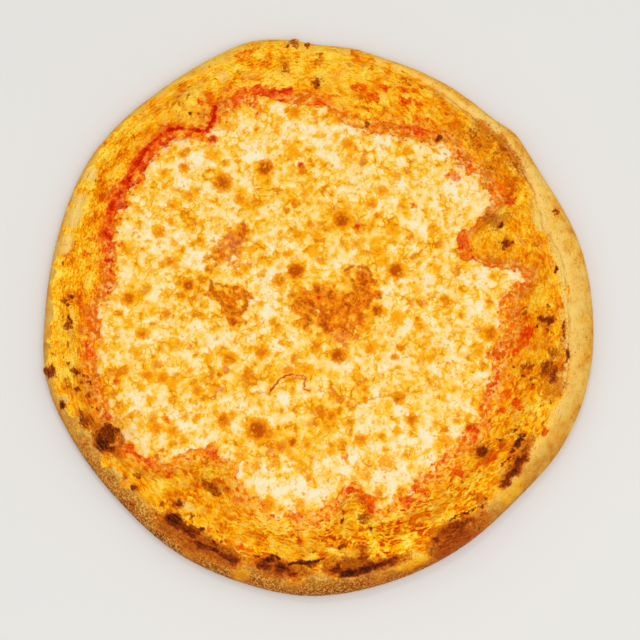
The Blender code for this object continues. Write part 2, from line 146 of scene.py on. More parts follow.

# Black specks and smears, browned patches, and patches that oil and sauce left bare, as marks. Some specks,
# smears and browned patches are painted shade in pits, holes and slits, beside the big blister at the lower
# left and under the fold on the right.
SCORCHES_AND_PIT_SHADE = read_off(RIM_TOP, (
    (181, 86, 2, 1.2, 1), (188, 86, 2, 1.2, 0.9), (187, 98, 1.2, 2, 1), (186.7, 102, 1.2, 1.5, 1),
    (179.6, 107.5, 2, 3, 0.6), (189.4, 113.7, 2.2, 1.5, 1), (197.9, 113, 1.5, 1, 0.9),
    (140.7, 114.6, 1.5, 1.5, 0.7), (133, 136, 1.5, 2, 0.6), (214, 80.3, 1, 1.5, 0.8),
    (239.8, 71.8, 1.5, 1.5, 0.5), (68.6, 297, 3.5, 4, 0.9), (63, 301.6, 3, 2, 0.7),
    (66.8, 305, 1.5, 1.5, 0.9), (69.5, 320.4, 3, 3, 1), (66, 325, 4, 4, 0.8), (70.4, 328, 2, 2, 0.8),
    (63.2, 316, 3, 1.5, 0.6), (78.4, 296, 1.5, 1.5, 0.6), (65.9, 344.5, 2.5, 2.5, 0.75),
    (52, 351.6, 1, 2, 0.9), (64, 356, 2, 2, 0.8), (66.8, 363, 3, 2, 0.6), (74.4, 371.3, 4, 3.5, 0.95),
    (83.8, 373, 2, 2, 0.8), (90, 368.6, 1.5, 1.5, 0.8), (86, 379.3, 3, 1.8, 0.95),
    (80, 380.5, 1.5, 1.5, 0.8), (75.7, 388.2, 3.5, 2.5, 0.85), (86.4, 391, 3, 2.5, 0.7),
    (103.8, 380.6, 1.5, 1.5, 1), (89.6, 403.4, 2.2, 2.2, 0.8), (96, 405, 2, 2, 0.7),
    (107, 399, 2.5, 1.5, 0.8), (62.3, 261.8, 3, 1.5, 0.7), (93.6, 181, 1.5, 1.5, 0.8),
    (93.6, 192, 1, 1, 0.7), (91, 434.8, 1.8, 1.5, 0.9), (86, 443, 1.5, 1, 0.6),
    (110.7, 476.8, 2.2, 2, 0.75), (118.8, 481, 1.3, 1, 0.6), (137.5, 474, 3.5, 3.5, 0.6),
    (133, 488, 3.8, 3.8, 0.95), (124, 476.8, 4, 4, 0.35), (132, 501.8, 3, 2.5, 0.85),
    (132, 508, 2, 1.8, 0.7), (124.6, 508, 1, 2.5, 0.6), (162.5, 503.6, 2.5, 2.5, 0.7),
    (168.8, 500, 2, 2, 0.6), (156, 515.5, 4, 3, 0.6), (172, 521, 8, 6, 0.95), (166, 516, 4, 4, 0.7),
    (189, 532, 8, 5, 0.85), (181, 527, 6, 4, 0.8), (200, 530.8, 3.5, 2.5, 1), (199, 545, 8, 4, 0.9),
    (211.4, 548, 7, 2.5, 1), (213.5, 543, 3.5, 1.8, 1), (224.7, 555.3, 7, 3, 0.9),
    (232, 560.4, 6, 3.5, 0.9), (257.3, 557.3, 4, 2, 0.95), (267.6, 560.4, 5, 2, 1),
    (275.7, 558.4, 5, 2, 1), (262.4, 565.5, 8, 4, 0.85), (279.8, 567.6, 7, 5, 0.95),
    (293, 563.5, 5, 2, 1), (304.7, 563, 9, 2.5, 1), (317, 560, 5, 2, 0.95), (291, 574, 6, 4, 0.7),
    (321, 538.6, 2, 1, 0.9), (310.8, 551.8, 3, 1, 0.8), (302, 555, 3, 1, 0.7), (325, 541, 2, 1, 0.7),
    (335.3, 569.2, 6, 3.5, 0.85), (346.5, 573, 9, 4, 1), (361.8, 569.5, 8, 4, 1),
    (377, 566, 8, 3.5, 0.9), (391.4, 561, 8, 2.5, 0.7), (362, 551, 4, 4, 0.65), (364, 558, 5, 4, 0.7),
    (340, 566, 4, 3, 0.5), (434.7, 540.8, 4.5, 3.5, 0.8), (444, 547, 7, 5, 0.5), (447, 531, 8, 5, 0.6),
    (458, 527, 10, 5.5, 0.65), (468, 521.5, 6, 3.5, 0.6), (463, 535, 7, 5, 0.55), (452, 540, 8, 5, 0.6),
    (480, 505, 4, 2.5, 0.95), (484, 498, 3, 1.2, 0.8), (471.4, 509.5, 5, 1, 0.9), (463, 514, 5, 1, 0.9),
    (452, 518, 5, 1, 0.8), (442, 521, 4, 1, 0.8), (506, 482, 6, 4, 0.75), (512.2, 473.5, 8, 4, 0.85),
    (520, 462, 8, 3.5, 0.8), (525, 450, 6, 3, 0.5), (515.3, 431.6, 2.8, 1.5, 1),
    (499.5, 439.3, 2.5, 1.5, 1), (522.4, 434.7, 3.5, 1.8, 0.9), (517.5, 444, 6, 2.5, 1),
    (510.2, 452, 3, 1.8, 1), (506, 459, 4, 1.3, 1), (503, 465, 3.5, 1.2, 0.9), (512, 458, 3, 1.2, 0.9),
    (497, 470, 3, 1, 0.7), (513, 357, 1.5, 1.5, 0.8), (513.6, 364.3, 2.2, 1.8, 0.9),
    (508, 371, 1.5, 1.5, 0.6), (526.3, 364.3, 3.5, 4.5, 0.6), (533.5, 363.3, 1.5, 1.5, 0.8),
    (524.3, 374.5, 1.5, 1.5, 0.9), (531.4, 378.6, 2.5, 1.5, 0.9), (531.4, 385.7, 2, 1.2, 1),
    (538.6, 384.7, 2, 1.2, 0.9), (539.6, 397, 3, 1, 0.8), (538.6, 406, 3, 1, 0.8),
    (546.7, 403, 2, 1.5, 0.7), (546.7, 370.4, 8, 7, 0.6),
)) + (
    (128.5, -42.5, 3, 2.5, 0.55),
) + read_off(RIM_TOP, (
    (550.8, 355.6, 5, 5, 0.5), (547.5, 320, 4, 6.5, 1), (540, 317.8, 3, 4, 0.85),
    (536.5, 326.5, 2, 1.5, 0.9), (544.7, 330.6, 1.5, 2, 0.9), (550.8, 335, 2, 1.5, 0.7),
    (525.3, 304, 1.5, 2.5, 0.8), (525.7, 310.6, 2.5, 2, 0.8), (547, 308, 2, 2, 0.7),
    (562, 326.5, 5, 1.8, 0.7), (563, 337, 5, 1.8, 0.7), (567, 348, 5, 1.8, 0.8),
    (567, 357, 5, 1.8, 0.8), (564, 366.3, 5, 1.8, 0.7), (555.8, 271, 4.5, 2, 0.9),
    (563, 292.2, 2, 2, 0.7), (506.3, 243, 4, 4, 0.95), (511.4, 242.2, 2, 2, 0.9),
    (502, 246.5, 2, 2, 0.8), (524, 242, 1.5, 3, 0.28), (532, 246, 1.5, 3, 0.33),
    (499.2, 225.9, 2.6, 3.4, 1), (494.7, 215, 1.5, 1.5, 0.6), (439.7, 134.5, 3, 4, 0.85),
    (367.3, 121, 2.3, 2.3, 0.85), (493.8, 139.5, 4, 2.5, 0.47), (501, 147.5, 5, 2.5, 0.5),
    (509, 156.4, 5, 2.5, 0.55), (517, 166, 5, 1.8, 0.44), (497.3, 153.8, 3, 3, 0.44),
    (490, 163.6, 2.5, 1.2, 0.5), (493.8, 166, 2, 1.2, 0.55), (470.5, 131.4, 3, 1.5, 0.5),
    (474, 135, 2, 1.5, 0.44), (469.6, 138, 2.5, 1.5, 0.5), (479, 143, 1.8, 1.5, 0.5),
    (462, 130, 3, 3, 0.17), (475.9, 154.6, 1.8, 1.8, 0.33), (422, 88.6, 2, 1, 0.9),
    (409, 86, 2, 1, 0.9), (404, 82, 2, 0.8, 0.7), (403, 69.5, 3, 1, 0.5), (320.4, 54, 3.5, 3, 0.6),
    (284.3, 66, 4, 4.5, 0.55),
)) + (
    # From here on, many of these marks are painted shade in pits, holes and slits and beside the big blister
    # at the lower left.
    (-1, 133, 2.5, 3, 0.7),
) + read_off(RIM_TOP, (
    (370, 69, 3, 2.5, 0.3), (294, 41.6, 4.5, 4.5, 0.5), (286, 45.6, 3, 3, 0.75),
    (307, 43.4, 3.6, 3.6, 0.8), (49, 370.4, 6, 5.5, 0.75), (62, 403, 4.5, 4, 0.9),
    (84.6, 419.5, 9.5, 5.5, 0.55), (67.7, 384.6, 5, 4.5, 0.3), (104.5, 441.5, 9, 9, 0.9),
    (111, 433, 6, 7, 0.8), (107, 426, 2, 2, 1), (112.5, 426.3, 2, 1.8, 1), (117, 431.3, 2, 2.5, 1),
    (118, 440, 2, 6, 0.45), (177.2, 503.3, 3.6, 3.4, 1), (342.4, 510.5, 3, 1.3, 1),
    (341.9, 520.5, 2, 3.2, 1), (370, 526.8, 1.8, 3, 1), (363.9, 517, 5, 5, 0.5),
    (340.4, 547.5, 4.5, 3, 0.7), (482, 450.5, 4.5, 5, 0.75), (554.8, 212.1, 3, 3, 0.75),
    (208, 485, 7, 3.5, 0.55), (214, 491, 5, 3.5, 0.6), (225, 487, 3, 2.5, 0.6), (193, 517, 2, 1.5, 0.9),
    (197, 518, 2, 1.2, 0.9), (190, 515.5, 1.5, 1, 0.7), (480.6, 514.3, 4, 4, 0.35),
    (195, 528, 4, 1.2, 0.9), (215.5, 532.9, 4, 1.2, 0.9), (220.6, 542, 3, 1.2, 0.8),
))
BROWNED_AND_SHADED_PATCHES = (
    (92, 98, 8, 6, 0.55), (108, 86, 10, 5, 0.6), (98, 84, 6, 5, 0.4), (112, 78, 8, 4, 0.5),
) + read_off(RIM_TOP, (
    (484, 130, 14, 8, 0.6), (500, 140, 10, 6, 0.7), (462, 128, 8, 5, 0.4), (561, 345, 22, 4, 0.5),
    (556, 387, 10, 8, 0.6), (547, 395, 10, 5, 0.5), (516, 465, 20, 6, 0.9), (524, 448, 14, 5, 0.8),
    (504, 482, 8, 5, 0.6),
)) + (
    (72.5, -129.5, 11, 7, 1.2), (66, -135, 6.5, 5, 1.1), (84, -123, 8, 6, 0.9),
    (38, -142.5, 11, 3, 0.9), (17, -144.5, 12, 4.5, 1), (6.5, -143.5, 5.5, 3.5, 0.8),
    (-12, -147.5, 9, 3.5, 0.9), (-23, -145.5, 9, 5, 1.1), (-36.5, -142.5, 7, 2.5, 0.6),
    (-52, -138.5, 10, 4.5, 1.1), (-66.5, -131.5, 11, 5.5, 1.1), (-80, -122, 7.5, 5.5, 1),
) + read_off(RIM_TOP, (
    # Some of these are painted shade: under the fold on the right, beside the big blister at the lower left,
    # and in holes and pits.
    (152, 512, 6, 5, 0.5), (104, 440, 16, 14, 0.5), (67, 385, 6, 5, 0.4), (68, 325, 14, 5, 0.4),
    (70, 300, 10, 5, 0.35), (76, 372, 8, 6, 0.45), (87, 385, 8, 6, 0.3), (491, 217, 14, 6, 0.8),
    (505, 219, 6, 4, 0.6), (495, 262, 12, 5, 0.35), (548, 375, 14, 10, 0.5), (545, 320, 10, 7, 0.5),
    (284, 66, 6, 6, 0.5), (318, 60, 6, 4, 0.4), (440, 134, 6, 5, 0.6), (208, 484, 14, 6, 0.5),
    (222, 488, 6, 5, 0.5), (177, 503, 6, 6, 0.6), (340, 545, 8, 5, 0.4), (362, 550, 8, 7, 0.6),
    (482, 450, 9, 8, 0.6), (515, 432, 10, 6, 0.4), (480, 500, 6, 8, 0.6), (527, 366, 8, 5, 0.4),
    (507, 244, 6, 6, 0.6), (300, 107, 10, 4, 0.3), (395, 124, 16, 6, 0.4),
))
BARE_PATCHES = read_off(RIM_TOP, (
    (222, 77, 6, 6, 0.8), (250, 72, 12, 4, 0.5), (540, 221, 7, 7, 1), (537, 198, 10, 4, 0.6),
    (558, 262, 14, 5, 0.8), (563, 290, 14, 4, 0.8), (470, 111, 18, 4, 0.7), (489, 121, 10, 4, 0.5),
    (450, 98, 14, 3, 0.5),
)) + (
    (-128, 76, 4, 3.5, 0.9), (-134, 61, 4, 4, 0.9), (-137.5, 52, 6, 4.5, 1), (-141, 36, 6, 3, 0.8),
) + read_off(RIM_TOP, (
    (336, 74, 9, 2.5, 0.6), (367.8, 74.6, 3, 3, 0.7), (186, 507, 9, 4, 1), (150, 92, 10, 3, 0.3),
))

# Where the sauce shows through the oil on the rim, as marks.
SAUCE_PATCHES = read_off(SLOPE_TOP, (
    (168.4, 129, 8, 3.5, 1), (188, 131.5, 8, 3, 1), (204, 130.5, 5, 3, 1), (212, 112, 3, 7, 1),
    (209.5, 121, 3, 5, 1), (160, 135, 5, 4, 0.9), (152, 146, 5, 5, 0.85), (143.4, 163.8, 5, 5, 1),
    (141.8, 166.3, 5, 5, 1), (146, 173, 4, 5, 0.8), (125.7, 184, 5, 5, 1), (118.6, 178.8, 5, 4, 0.75),
    (116.8, 202.9, 6, 5, 1), (107.9, 210, 7, 4, 0.7), (117, 217, 6, 5, 0.95), (106, 222, 7, 4, 0.75),
    (104.3, 231.5, 7, 5, 1), (106, 245.7, 5, 4, 1), (105, 256, 4, 3, 0.8), (85.5, 253.8, 4, 4, 0.7),
    (89, 266, 2.5, 2.5, 0.6), (111.4, 270.7, 5, 4, 0.8), (96, 262, 4, 4, 0.4),
    (234.5, 97.8, 6, 6, 0.85), (257.7, 87.5, 9, 6, 0.95), (266.6, 91.4, 6, 4, 1), (274, 88, 4, 4, 0.9),
    (286, 89.5, 7, 3.5, 1), (208.6, 99.5, 5, 6, 0.7), (199.6, 104.8, 2.5, 2.5, 0.9),
    (320, 101.4, 8, 5, 0.9), (302, 107.5, 5, 3, 0.85), (312, 104, 6, 4, 0.9), (331, 93, 6, 3, 0.75),
    (359.3, 89, 8, 2.5, 0.8), (384.3, 89.8, 8, 2.5, 0.95), (374.5, 97, 6, 2.5, 0.85),
    (404, 103, 6, 2.5, 0.9), (402, 91.6, 6, 2, 0.85), (395, 123.8, 14, 4, 0.6), (380, 119, 8, 4, 0.45),
    (346, 106, 6, 4, 0.45), (371.8, 129, 3, 2, 0.7), (403.6, 93, 4, 2, 0.9), (414, 92.5, 4, 2, 0.7),
    (406, 103, 5, 2.5, 0.9), (418, 105, 5, 2.5, 0.9), (420.5, 117, 8, 3, 0.7),
    (419.6, 128.8, 8, 3.5, 1), (432, 131, 4, 3, 0.7), (471.4, 166, 5, 2.5, 0.8), (463, 166, 3, 2, 0.7),
    (501, 186, 6, 5, 0.7), (507, 195, 5, 4, 0.8), (508.4, 202.4, 5, 4.5, 1), (518.8, 175, 2, 2, 0.8),
    (473.7, 219.3, 2.5, 2.5, 0.8), (467, 211.6, 5, 3, 0.5), (464, 223, 4, 4, 0.8),
    (459.4, 240.2, 8, 7, 1), (466, 232, 4, 4, 0.8), (473.7, 259.6, 5, 5, 1), (470, 252, 4, 4, 0.8),
    (488, 264.7, 5, 2.5, 0.6), (526.7, 271.8, 6, 4, 0.45), (511.4, 296.3, 4, 4, 0.5),
    (528, 332, 8, 6, 1), (523, 341, 6, 5, 0.8), (518.2, 350, 4.5, 4.5, 0.95), (510, 378.6, 7, 4, 0.6),
    (508, 392, 6, 4.5, 0.9), (501.8, 407.5, 6, 4, 0.95), (517, 402, 5, 3.5, 0.95),
    (521, 409.5, 4, 3, 0.7), (474.5, 435.7, 4, 3.5, 1), (470.4, 429.6, 3, 3, 0.8),
    (478.4, 419.4, 4, 3, 0.7), (454, 454, 4, 3.5, 0.9), (461, 461, 5, 4, 0.55), (458, 471, 5, 4.5, 0.9),
    (489.8, 460.2, 7, 2.5, 0.95), (480, 463, 5, 2, 0.7), (413.3, 485.7, 4, 4, 1),
    (424.5, 488.8, 3.5, 4, 0.85), (405, 497, 5, 4, 1), (408, 502, 6, 3, 0.9), (487.8, 473.5, 3, 2, 0.7),
    (474.5, 493.9, 3, 2.5, 0.6), (456, 507, 5, 2, 0.7), (428.6, 517.3, 4, 2.5, 0.85),
    (417.3, 514, 6, 2, 0.7), (410, 526.5, 7, 2, 0.7), (351.6, 489.5, 6, 3.5, 1),
    (365, 496, 4, 3.5, 0.85), (370.5, 506, 3.5, 6, 1), (333.3, 505, 3, 5, 0.8), (327, 517, 3, 5, 0.75),
    (339.4, 491, 4, 3, 0.75), (293.5, 518, 6, 3, 0.65), (315.9, 525.3, 6, 3.5, 0.75),
    (211.4, 451.2, 5, 5, 0.95), (146, 459.4, 4, 4, 0.8), (143, 456, 3, 3, 0.8),
    (166.5, 474.5, 4, 4, 0.9), (193, 472.7, 4, 3, 0.7), (242, 479, 4, 4, 0.7), (239, 498.2, 3, 4, 0.7),
    (237, 518.6, 5, 3, 0.6), (209.4, 530.8, 3, 2, 0.8), (242, 548, 8, 2.5, 0.85), (228, 543, 4, 2, 0.7),
    (85.5, 341.8, 4, 5, 1), (87, 347, 3, 4, 0.8), (86.4, 353.4, 6, 5, 0.85), (79.3, 350.7, 4, 4, 0.7),
    (82.9, 315.9, 5, 5, 0.6), (93.6, 309.6, 5, 6, 0.65), (78.4, 305, 2.5, 2.5, 0.8),
    (99.8, 388.2, 3, 3, 0.8), (96.3, 382, 2.5, 2.5, 0.7), (113, 364, 3, 5, 0.7), (106, 415, 5, 4.5, 1),
    (105.4, 421, 4, 3, 0.8), (128.6, 431.3, 2.5, 2.5, 0.9), (133, 435.7, 3, 3, 0.9),
    (127.7, 446.4, 5, 4.5, 0.95), (135.7, 452.7, 6, 4, 0.95), (148.2, 461.5, 5, 3.5, 0.9),
    (152.7, 476.8, 3, 3, 0.6), (176.8, 484, 4, 2.5, 0.6), (107, 399, 3, 3, 0.6), (95, 428, 3, 2, 0.2),
))

# Tops of bubbles, paler where the oil ran off them, with a painted highlight on the big dome at the upper
# left, as marks.
PALE_AND_HIGHLIT_TOPS = (
    (-73.5, 113.5, 8, 6, 1.2), (-27, 133, 9, 4, 0.8), (18, 132, 6, 4, 0.5), (103, 52, 7, 14, 0.6),
    (32, 138, 4.5, 4, 0.9), (-72, 107.5, 7, 1.5, 1.5),
    (-58, -92, 8, 5, 0.7), (18, -104, 5, 5, 0.7), (3, 132, 6, 3, 0.5), (-92, -60, 5, 4, 0.5),
)

# Golden places on the browned lip, where oil ran over it, as marks.
GLOWS = (
    (-41.5, -149, 5, 3.5, 0.6), (53.5, -141, 12, 3, 0.85), (-13, -153.5, 5, 2.5, 0.4),
    (-69, -139.5, 4, 2.5, 0.35), (104, -103, 7, 4, 0.4), (33, -151, 8, 2.5, 0.3),
)

# How much sauce shows along the edge of the cheese, all round, from 0 to 1.
TOMATO = (
    (0, 0.5), (25, 0.45), (45, 0.15), (60, 0.4), (75, 0.5), (90, 0.25), (105, 0.8), (120, 0.3), (135, 0.8),
    (150, 1), (165, 0.8), (180, 0.5), (200, 0.15), (215, 0.15), (230, 0.3), (255, 0.2), (275, 0.4),
    (300, 0.5), (320, 0.6), (340, 0.6),
)

# Smears of bare sauce along the rim: (points in mm, width in mm, strength).
SAUCE_BANDS = (
    (
        ((-59.5, 119), (-60.2, 113.4), (-61.5, 109), (-64.5, 104.8), (-73, 105.2), (-79, 105.8), (-86, 105)),
        1.5,
        1.3,
    ),
    (((-86, 105), (-92, 101), (-96, 95.5)), 2.2, 0.9),
    (
        ((-96, 95.5), (-100.5, 90.5), (-104.5, 84), (-109, 75.5), (-114, 67), (-117.5, 58), (-120.5, 47)),
        3.2,
        1,
    ),
    (((-42, 130), (-33, 127.5), (-24, 128.5), (-16, 129.5)), 2.2, 0.9),
    (((42, 108), (56, 106.5), (66, 103)), 1.6, 0.8),
)

# How streaky the oil on the rim is and how orange it is, all round, from 0 to 1, and how far past the
# crease it reaches, in mm.
STREAKS = (
    (0, 0.35), (20, 0.4), (40, 0.3), (60, 0.55), (75, 0.9), (85, 0.5), (95, 0.15), (110, 0.1),
    (125, 0.6), (135, 0.3), (150, 0.12), (180, 0.15), (200, 0.35), (215, 0.4), (230, 0.7), (250, 0.9),
    (270, 1), (290, 1), (310, 0.9), (330, 0.8), (345, 0.6),
)
WARMTH = (
    (0, 0.55), (30, 0.5), (60, 0.45), (90, 0.3), (120, 0.38), (150, 0.28), (185, 0.28), (215, 0.4),
    (245, 0.5), (280, 0.5), (310, 0.45), (335, 0.5),
)
OIL_REACH = (
    (0, -3), (25, -4), (45, -1), (60, 0), (75, 2), (90, 6), (110, 4), (130, 4), (150, 4), (180, 4),
    (200, 3), (215, 2), (240, 3), (270, 3), (290, 2), (310, 0), (330, -2), (345, -3),
)

# How long and wide the strings of cheese on the rim are, and the radius where they are that long.
STREAK_LENGTH = 4.5 * MM
STREAK_WIDTH = 1.1 * MM
STREAK_RADIUS = 140 * MM


def around(pairs, turns):
    """The value at each angle, in degrees, on a smooth closed curve through (degrees, value) pairs."""
    degrees, values = np.array(pairs, float).T
    count = len(pairs)
    turns = turns % 360
    here = np.searchsorted(degrees, turns, side="right") - 1
    near = [here + step for step in (-1, 0, 1, 2)]
    a0, a1, a2, a3 = (degrees[k % count] + 360 * (k // count) for k in near)
    v0, v1, v2, v3 = (values[k % count] for k in near)
    span = a2 - a1
    share = (turns - a1) / span
    slope_1 = (v2 - v0) / (a2 - a0) * span
    slope_2 = (v3 - v1) / (a3 - a1) * span
    cube = share**3
    square = share**2
    return (
        (2 * cube - 3 * square + 1) * v1
        + (cube - 2 * square + share) * slope_1
        + (3 * square - 2 * cube) * v2
        + (cube - square) * slope_2
    )


def ease(share):
    """A smooth step from 0 to 1."""
    share = np.clip(share, 0, 1)
    return share * share * (3 - 2 * share)


def points_of(piece):
    """Where a piece's points are, one row each, in metres."""
    flat = np.empty(len(piece.data.vertices) * 3, np.float32)
    piece.data.vertices.foreach_get("co", flat)
    return flat.reshape(-1, 3).astype(float)


def move_points(piece, places):
    """Puts a piece's points at new places."""
    piece.data.vertices.foreach_set("co", places.astype(np.float32).ravel())
    piece.data.update()


def facing(piece):
    """The way that the surface faces at each point."""
    flat = np.empty(len(piece.data.vertices) * 3, np.float32)
    piece.data.vertices.foreach_get("normal", flat)
    return flat.reshape(-1, 3).astype(float)


def from_middle(places):
    """The angle in degrees and the distance in metres of each point from the middle of the round."""
    x, y = (places[:, :2] - RIM_MIDDLE).T
    return np.degrees(np.arctan2(y, x)), np.hypot(x, y)


def reach(node):
    """How far a solid reaches from the middle, as a function of the angle in degrees."""
    turns, radii = from_middle(points_of(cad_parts[node]))
    sector = np.round(turns % 360 * SECTORS / 360).astype(int) % SECTORS
    far = np.zeros(SECTORS + 1)
    np.maximum.at(far, sector, radii)
    far[-1] = far[0]
    return lambda turns: np.interp(turns % 360, np.linspace(0, 360, SECTORS + 1), far)


def lumps(places, size, octaves=2, offset=0.0):
    """Soft noise, mostly from -1 to 1, in lumps of about a size in metres."""
    spots = (places / size + offset).tolist()
    rough = [noise.fractal(spot, 1.0, 2.0, octaves) for spot in spots]
    return np.array(rough) * 1.6


def marks(places, ovals):
    """How strongly ovals cover each point: full inside, fading out over their last part."""
    xy = places[:, :2] / MM
    cover = np.zeros(len(xy))
    for x, y, along, across, strength in ovals:
        reach_out = 2 * max(along, across)
        near = np.flatnonzero((np.abs(xy - (x, y)) < reach_out).all(axis=1))
        outward = np.array((x, y)) / math.hypot(x, y)
        out = (xy[near] - (x, y)) @ outward
        side = (xy[near] - (x, y)) @ np.array((-outward[1], outward[0]))
        far = np.hypot(side / along, out / across)
        soft = min(along / 6, 1)
        share = ease((1.15 - 0.3 * soft) * (1.4 + 0.4 * soft - far))
        cover[near] = np.maximum(cover[near], strength * share)
    return cover


def wander(places, size, push):
    """The points pushed sideways by noise, so that what is marked with them gets an uneven edge."""
    spread = places.copy()
    spread[:, 0] += lumps(places, size, 2, 11.3) * push
    spread[:, 1] += lumps(places, size, 2, 47.1) * push
    return spread


cheese_reach = reach("cheese")
crust_reach = reach("crust")


def crease_radius(turns):
    """How far out the crease runs at each angle."""
    return crust_reach(turns) - around(LIP_WIDTH, turns) * MM


def pick(piece):
    """Selects one piece alone."""
    bpy.ops.object.select_all(action="DESELECT")
    bpy.context.view_layer.objects.active = piece
    piece.select_set(True)


def solid_copy(node, name, levels):
    """A copy of a solid under a new name, joined up, in four-sided faces and rounded by subdivision."""
    copy = bpy.data.objects.new(name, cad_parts[node].data.copy())
    bpy.context.scene.collection.objects.link(copy)
    copy.data.name = name
    copy.data.materials.clear()
    pick(copy)
    bpy.ops.object.mode_set(mode="EDIT")
    bpy.ops.mesh.select_all(action="SELECT")
    bpy.ops.mesh.remove_doubles(threshold=SAME)
    bpy.ops.mesh.customdata_custom_splitnormals_clear()
    bpy.ops.mesh.mark_sharp(clear=True)
    bpy.ops.mesh.tris_convert_to_quads()
    bpy.ops.mesh.normals_make_consistent(inside=False)
    bpy.ops.object.mode_set(mode="OBJECT")
    rounding = copy.modifiers.new("rounding", "SUBSURF")
    rounding.levels = rounding.render_levels = levels
    bpy.ops.object.modifier_apply(modifier=rounding.name)
    bpy.ops.object.shade_smooth()
    return copy


def top_of(mesh):
    """A mesh's surface as it is now, for the next layer to be laid on."""
    shape = bmesh.new()
    shape.from_mesh(mesh)
    surface = BVHTree.FromBMesh(shape)
    shape.free()
    return surface


def keep(piece, name, values):
    """Keeps a value for each point on the piece, for its material to read."""
    layer = piece.data.attributes.new(name, "FLOAT", "POINT")
    layer.data.foreach_set("value", np.clip(values, 0, 1).astype(np.float32))


# How deep the crease is, how high the ridge beside it, and how much the dough swells and grains.
CREASE_CUT = 0.5 * MM
CREASE_RIDGE = 0.35 * MM
SWELL = 0.45 * MM
GRAIN = 0.10 * MM


def shape_rim(piece, grain):
    """Presses the crease, dents, blisters and the unevenness of baked dough into a piece of the rim."""
    places = points_of(piece)
    normals = facing(piece)
    turns, radii = from_middle(places)
    outside = ease((radii - cheese_reach(turns)) / (4 * MM)) * ease(places[:, 2] / (3 * MM))
    upward = outside * ease(normals[:, 2] * 2)
    loose = wander(places, 5 * MM, 0.6 * MM)
    away = (from_middle(loose)[1] - crease_radius(turns)) / MM
    depth = around(CREASE_SHADE, turns)
    lift = -CREASE_CUT * depth * np.exp(-((away / 0.75) ** 2))
    lift += CREASE_RIDGE * depth * np.exp(-(((away - 2.2) / 1.3) ** 2))
    lift -= marks(loose, DENTS) * MM
    lift += marks(places, BUMPS) * MM * 0.7
    lift += SWELL * lumps(places, 11 * MM, 2)
    rough = 0.5 + around(FLOUR, turns)
    along = GRAIN * grain * rough * lumps(places, 1.3 * MM, 2) * outside
    places[:, 2] += lift * upward
    places += normals * along[:, None]
    places[:, 2] = np.maximum(places[:, 2], 0)
    move_points(piece, places)


def bake_and_shade(piece):
    """Works out each point's tone and marks on the rim, with painted shade in the crease, pits and holes and
    a painted highlight on the ridge beside the crease, and keeps it on the piece.
    """
    places = points_of(piece)
    turns, radii = from_middle(places)
    edge = crust_reach(turns)
    loose = wander(places, 2.6 * MM, 0.45 * MM)
    lip = ease((radii - crease_radius(turns)) / (edge - crease_radius(turns)))
    # The lip is darker towards its outer edge and all round by LIP_DARKNESS, and the outer wall is darker
    # towards the bottom.
    wall = ease((9.5 * MM - places[:, 2]) / (6 * MM))
    dough_darkness = around(LIP_DARKNESS, turns) * (0.35 + 0.65 * lip) + 0.25 * wall
    dough_darkness += 0.16 * lumps(places, 9 * MM, 2)
    glow = marks(wander(places, 5 * MM, 1.6 * MM), GLOWS)
    bare = marks(loose, BARE_PATCHES)
    dough_darkness = np.where(radii > crease_radius(turns) - 2 * MM, dough_darkness - 0.55 * glow, 0.3)
    keep(piece, "dough_darkness", dough_darkness - 0.25 * bare)
    # Some browned patches are painted shade under the fold on the right and in pits and holes.
    keep(piece, "browned_and_shaded", marks(wander(places, 4 * MM, 1.1 * MM), BROWNED_AND_SHADED_PATCHES))
    frayed = wander(loose, 4 * MM, 1.2 * MM)
    specks = [mark for mark in SCORCHES_AND_PIT_SHADE if mark[2] < 2.5]
    smears = [mark for mark in SCORCHES_AND_PIT_SHADE if mark[2] >= 2.5]
    # Some scorches are painted shade in pits, holes and slits.
    keep(piece, "scorched_and_shaded", np.maximum(0.8 * marks(frayed, specks), marks(frayed, smears)))
    keep(piece, "golden", (around(GOLDEN, turns) + 0.3 * lumps(places, 9 * MM, 2, 7.0) + glow) * (1 - bare))
    keep(piece, "flour", around(FLOUR, turns) * ease((radii - crease_radius(turns)) / (3 * MM)) * (1 - glow))
    away = (from_middle(wander(places, 5 * MM, 0.6 * MM))[1] - crease_radius(turns)) / MM
    # Painted shade in the crease.
    keep(piece, "crease", around(CREASE_SHADE, turns) * np.exp(-((away / 0.6) ** 2)))
    # A painted highlight on the ridge beside the crease.
    keep(piece, "ridge", around(CREASE_SHADE, turns) * np.exp(-(((away - 2.4) / 1.5) ** 2)))


def rgb(red, green, blue):
    """A colour as the eye sees it, 0 to 255, made linear."""
    scaled = [channel / 255 for channel in (red, green, blue)]
    linear = [c / 12.92 if c <= 0.04045 else ((c + 0.055) / 1.055) ** 2.4 for c in scaled]
    return (*linear, 1)


def put(socket, value):
    """Feeds a socket from another one, or sets it to a plain number, colour or vector."""
    if isinstance(value, bpy.types.NodeSocket):
        socket.id_data.links.new(value, socket)
    else:
        socket.default_value = value


def blank(name):
    """A new material, with its tree and its shader."""
    material = bpy.data.materials.new(name)
    material.use_nodes = True
    tree = material.node_tree
    return material, tree, tree.nodes["Principled BSDF"]


def kept(tree, name):
    """The value that a piece keeps for each point."""
    reader = tree.nodes.new("ShaderNodeAttribute")
    reader.attribute_name = name
    return reader.outputs["Fac"]


def place(tree):
    """Where on the piece a point of its surface is."""
    return tree.nodes.new("ShaderNodeTexCoord").outputs["Object"]


def noise_at(tree, where, scale, detail, offset, rough):
    """Noise from 0 to 1 at a vector."""
    grains = tree.nodes.new("ShaderNodeTexNoise")
    grains.noise_dimensions = "4D"
    put(grains.inputs["Vector"], where)
    for key, setting in (("W", offset), ("Scale", scale), ("Detail", detail), ("Roughness", rough)):
        grains.inputs[key].default_value = setting
    return grains.outputs["Fac"]


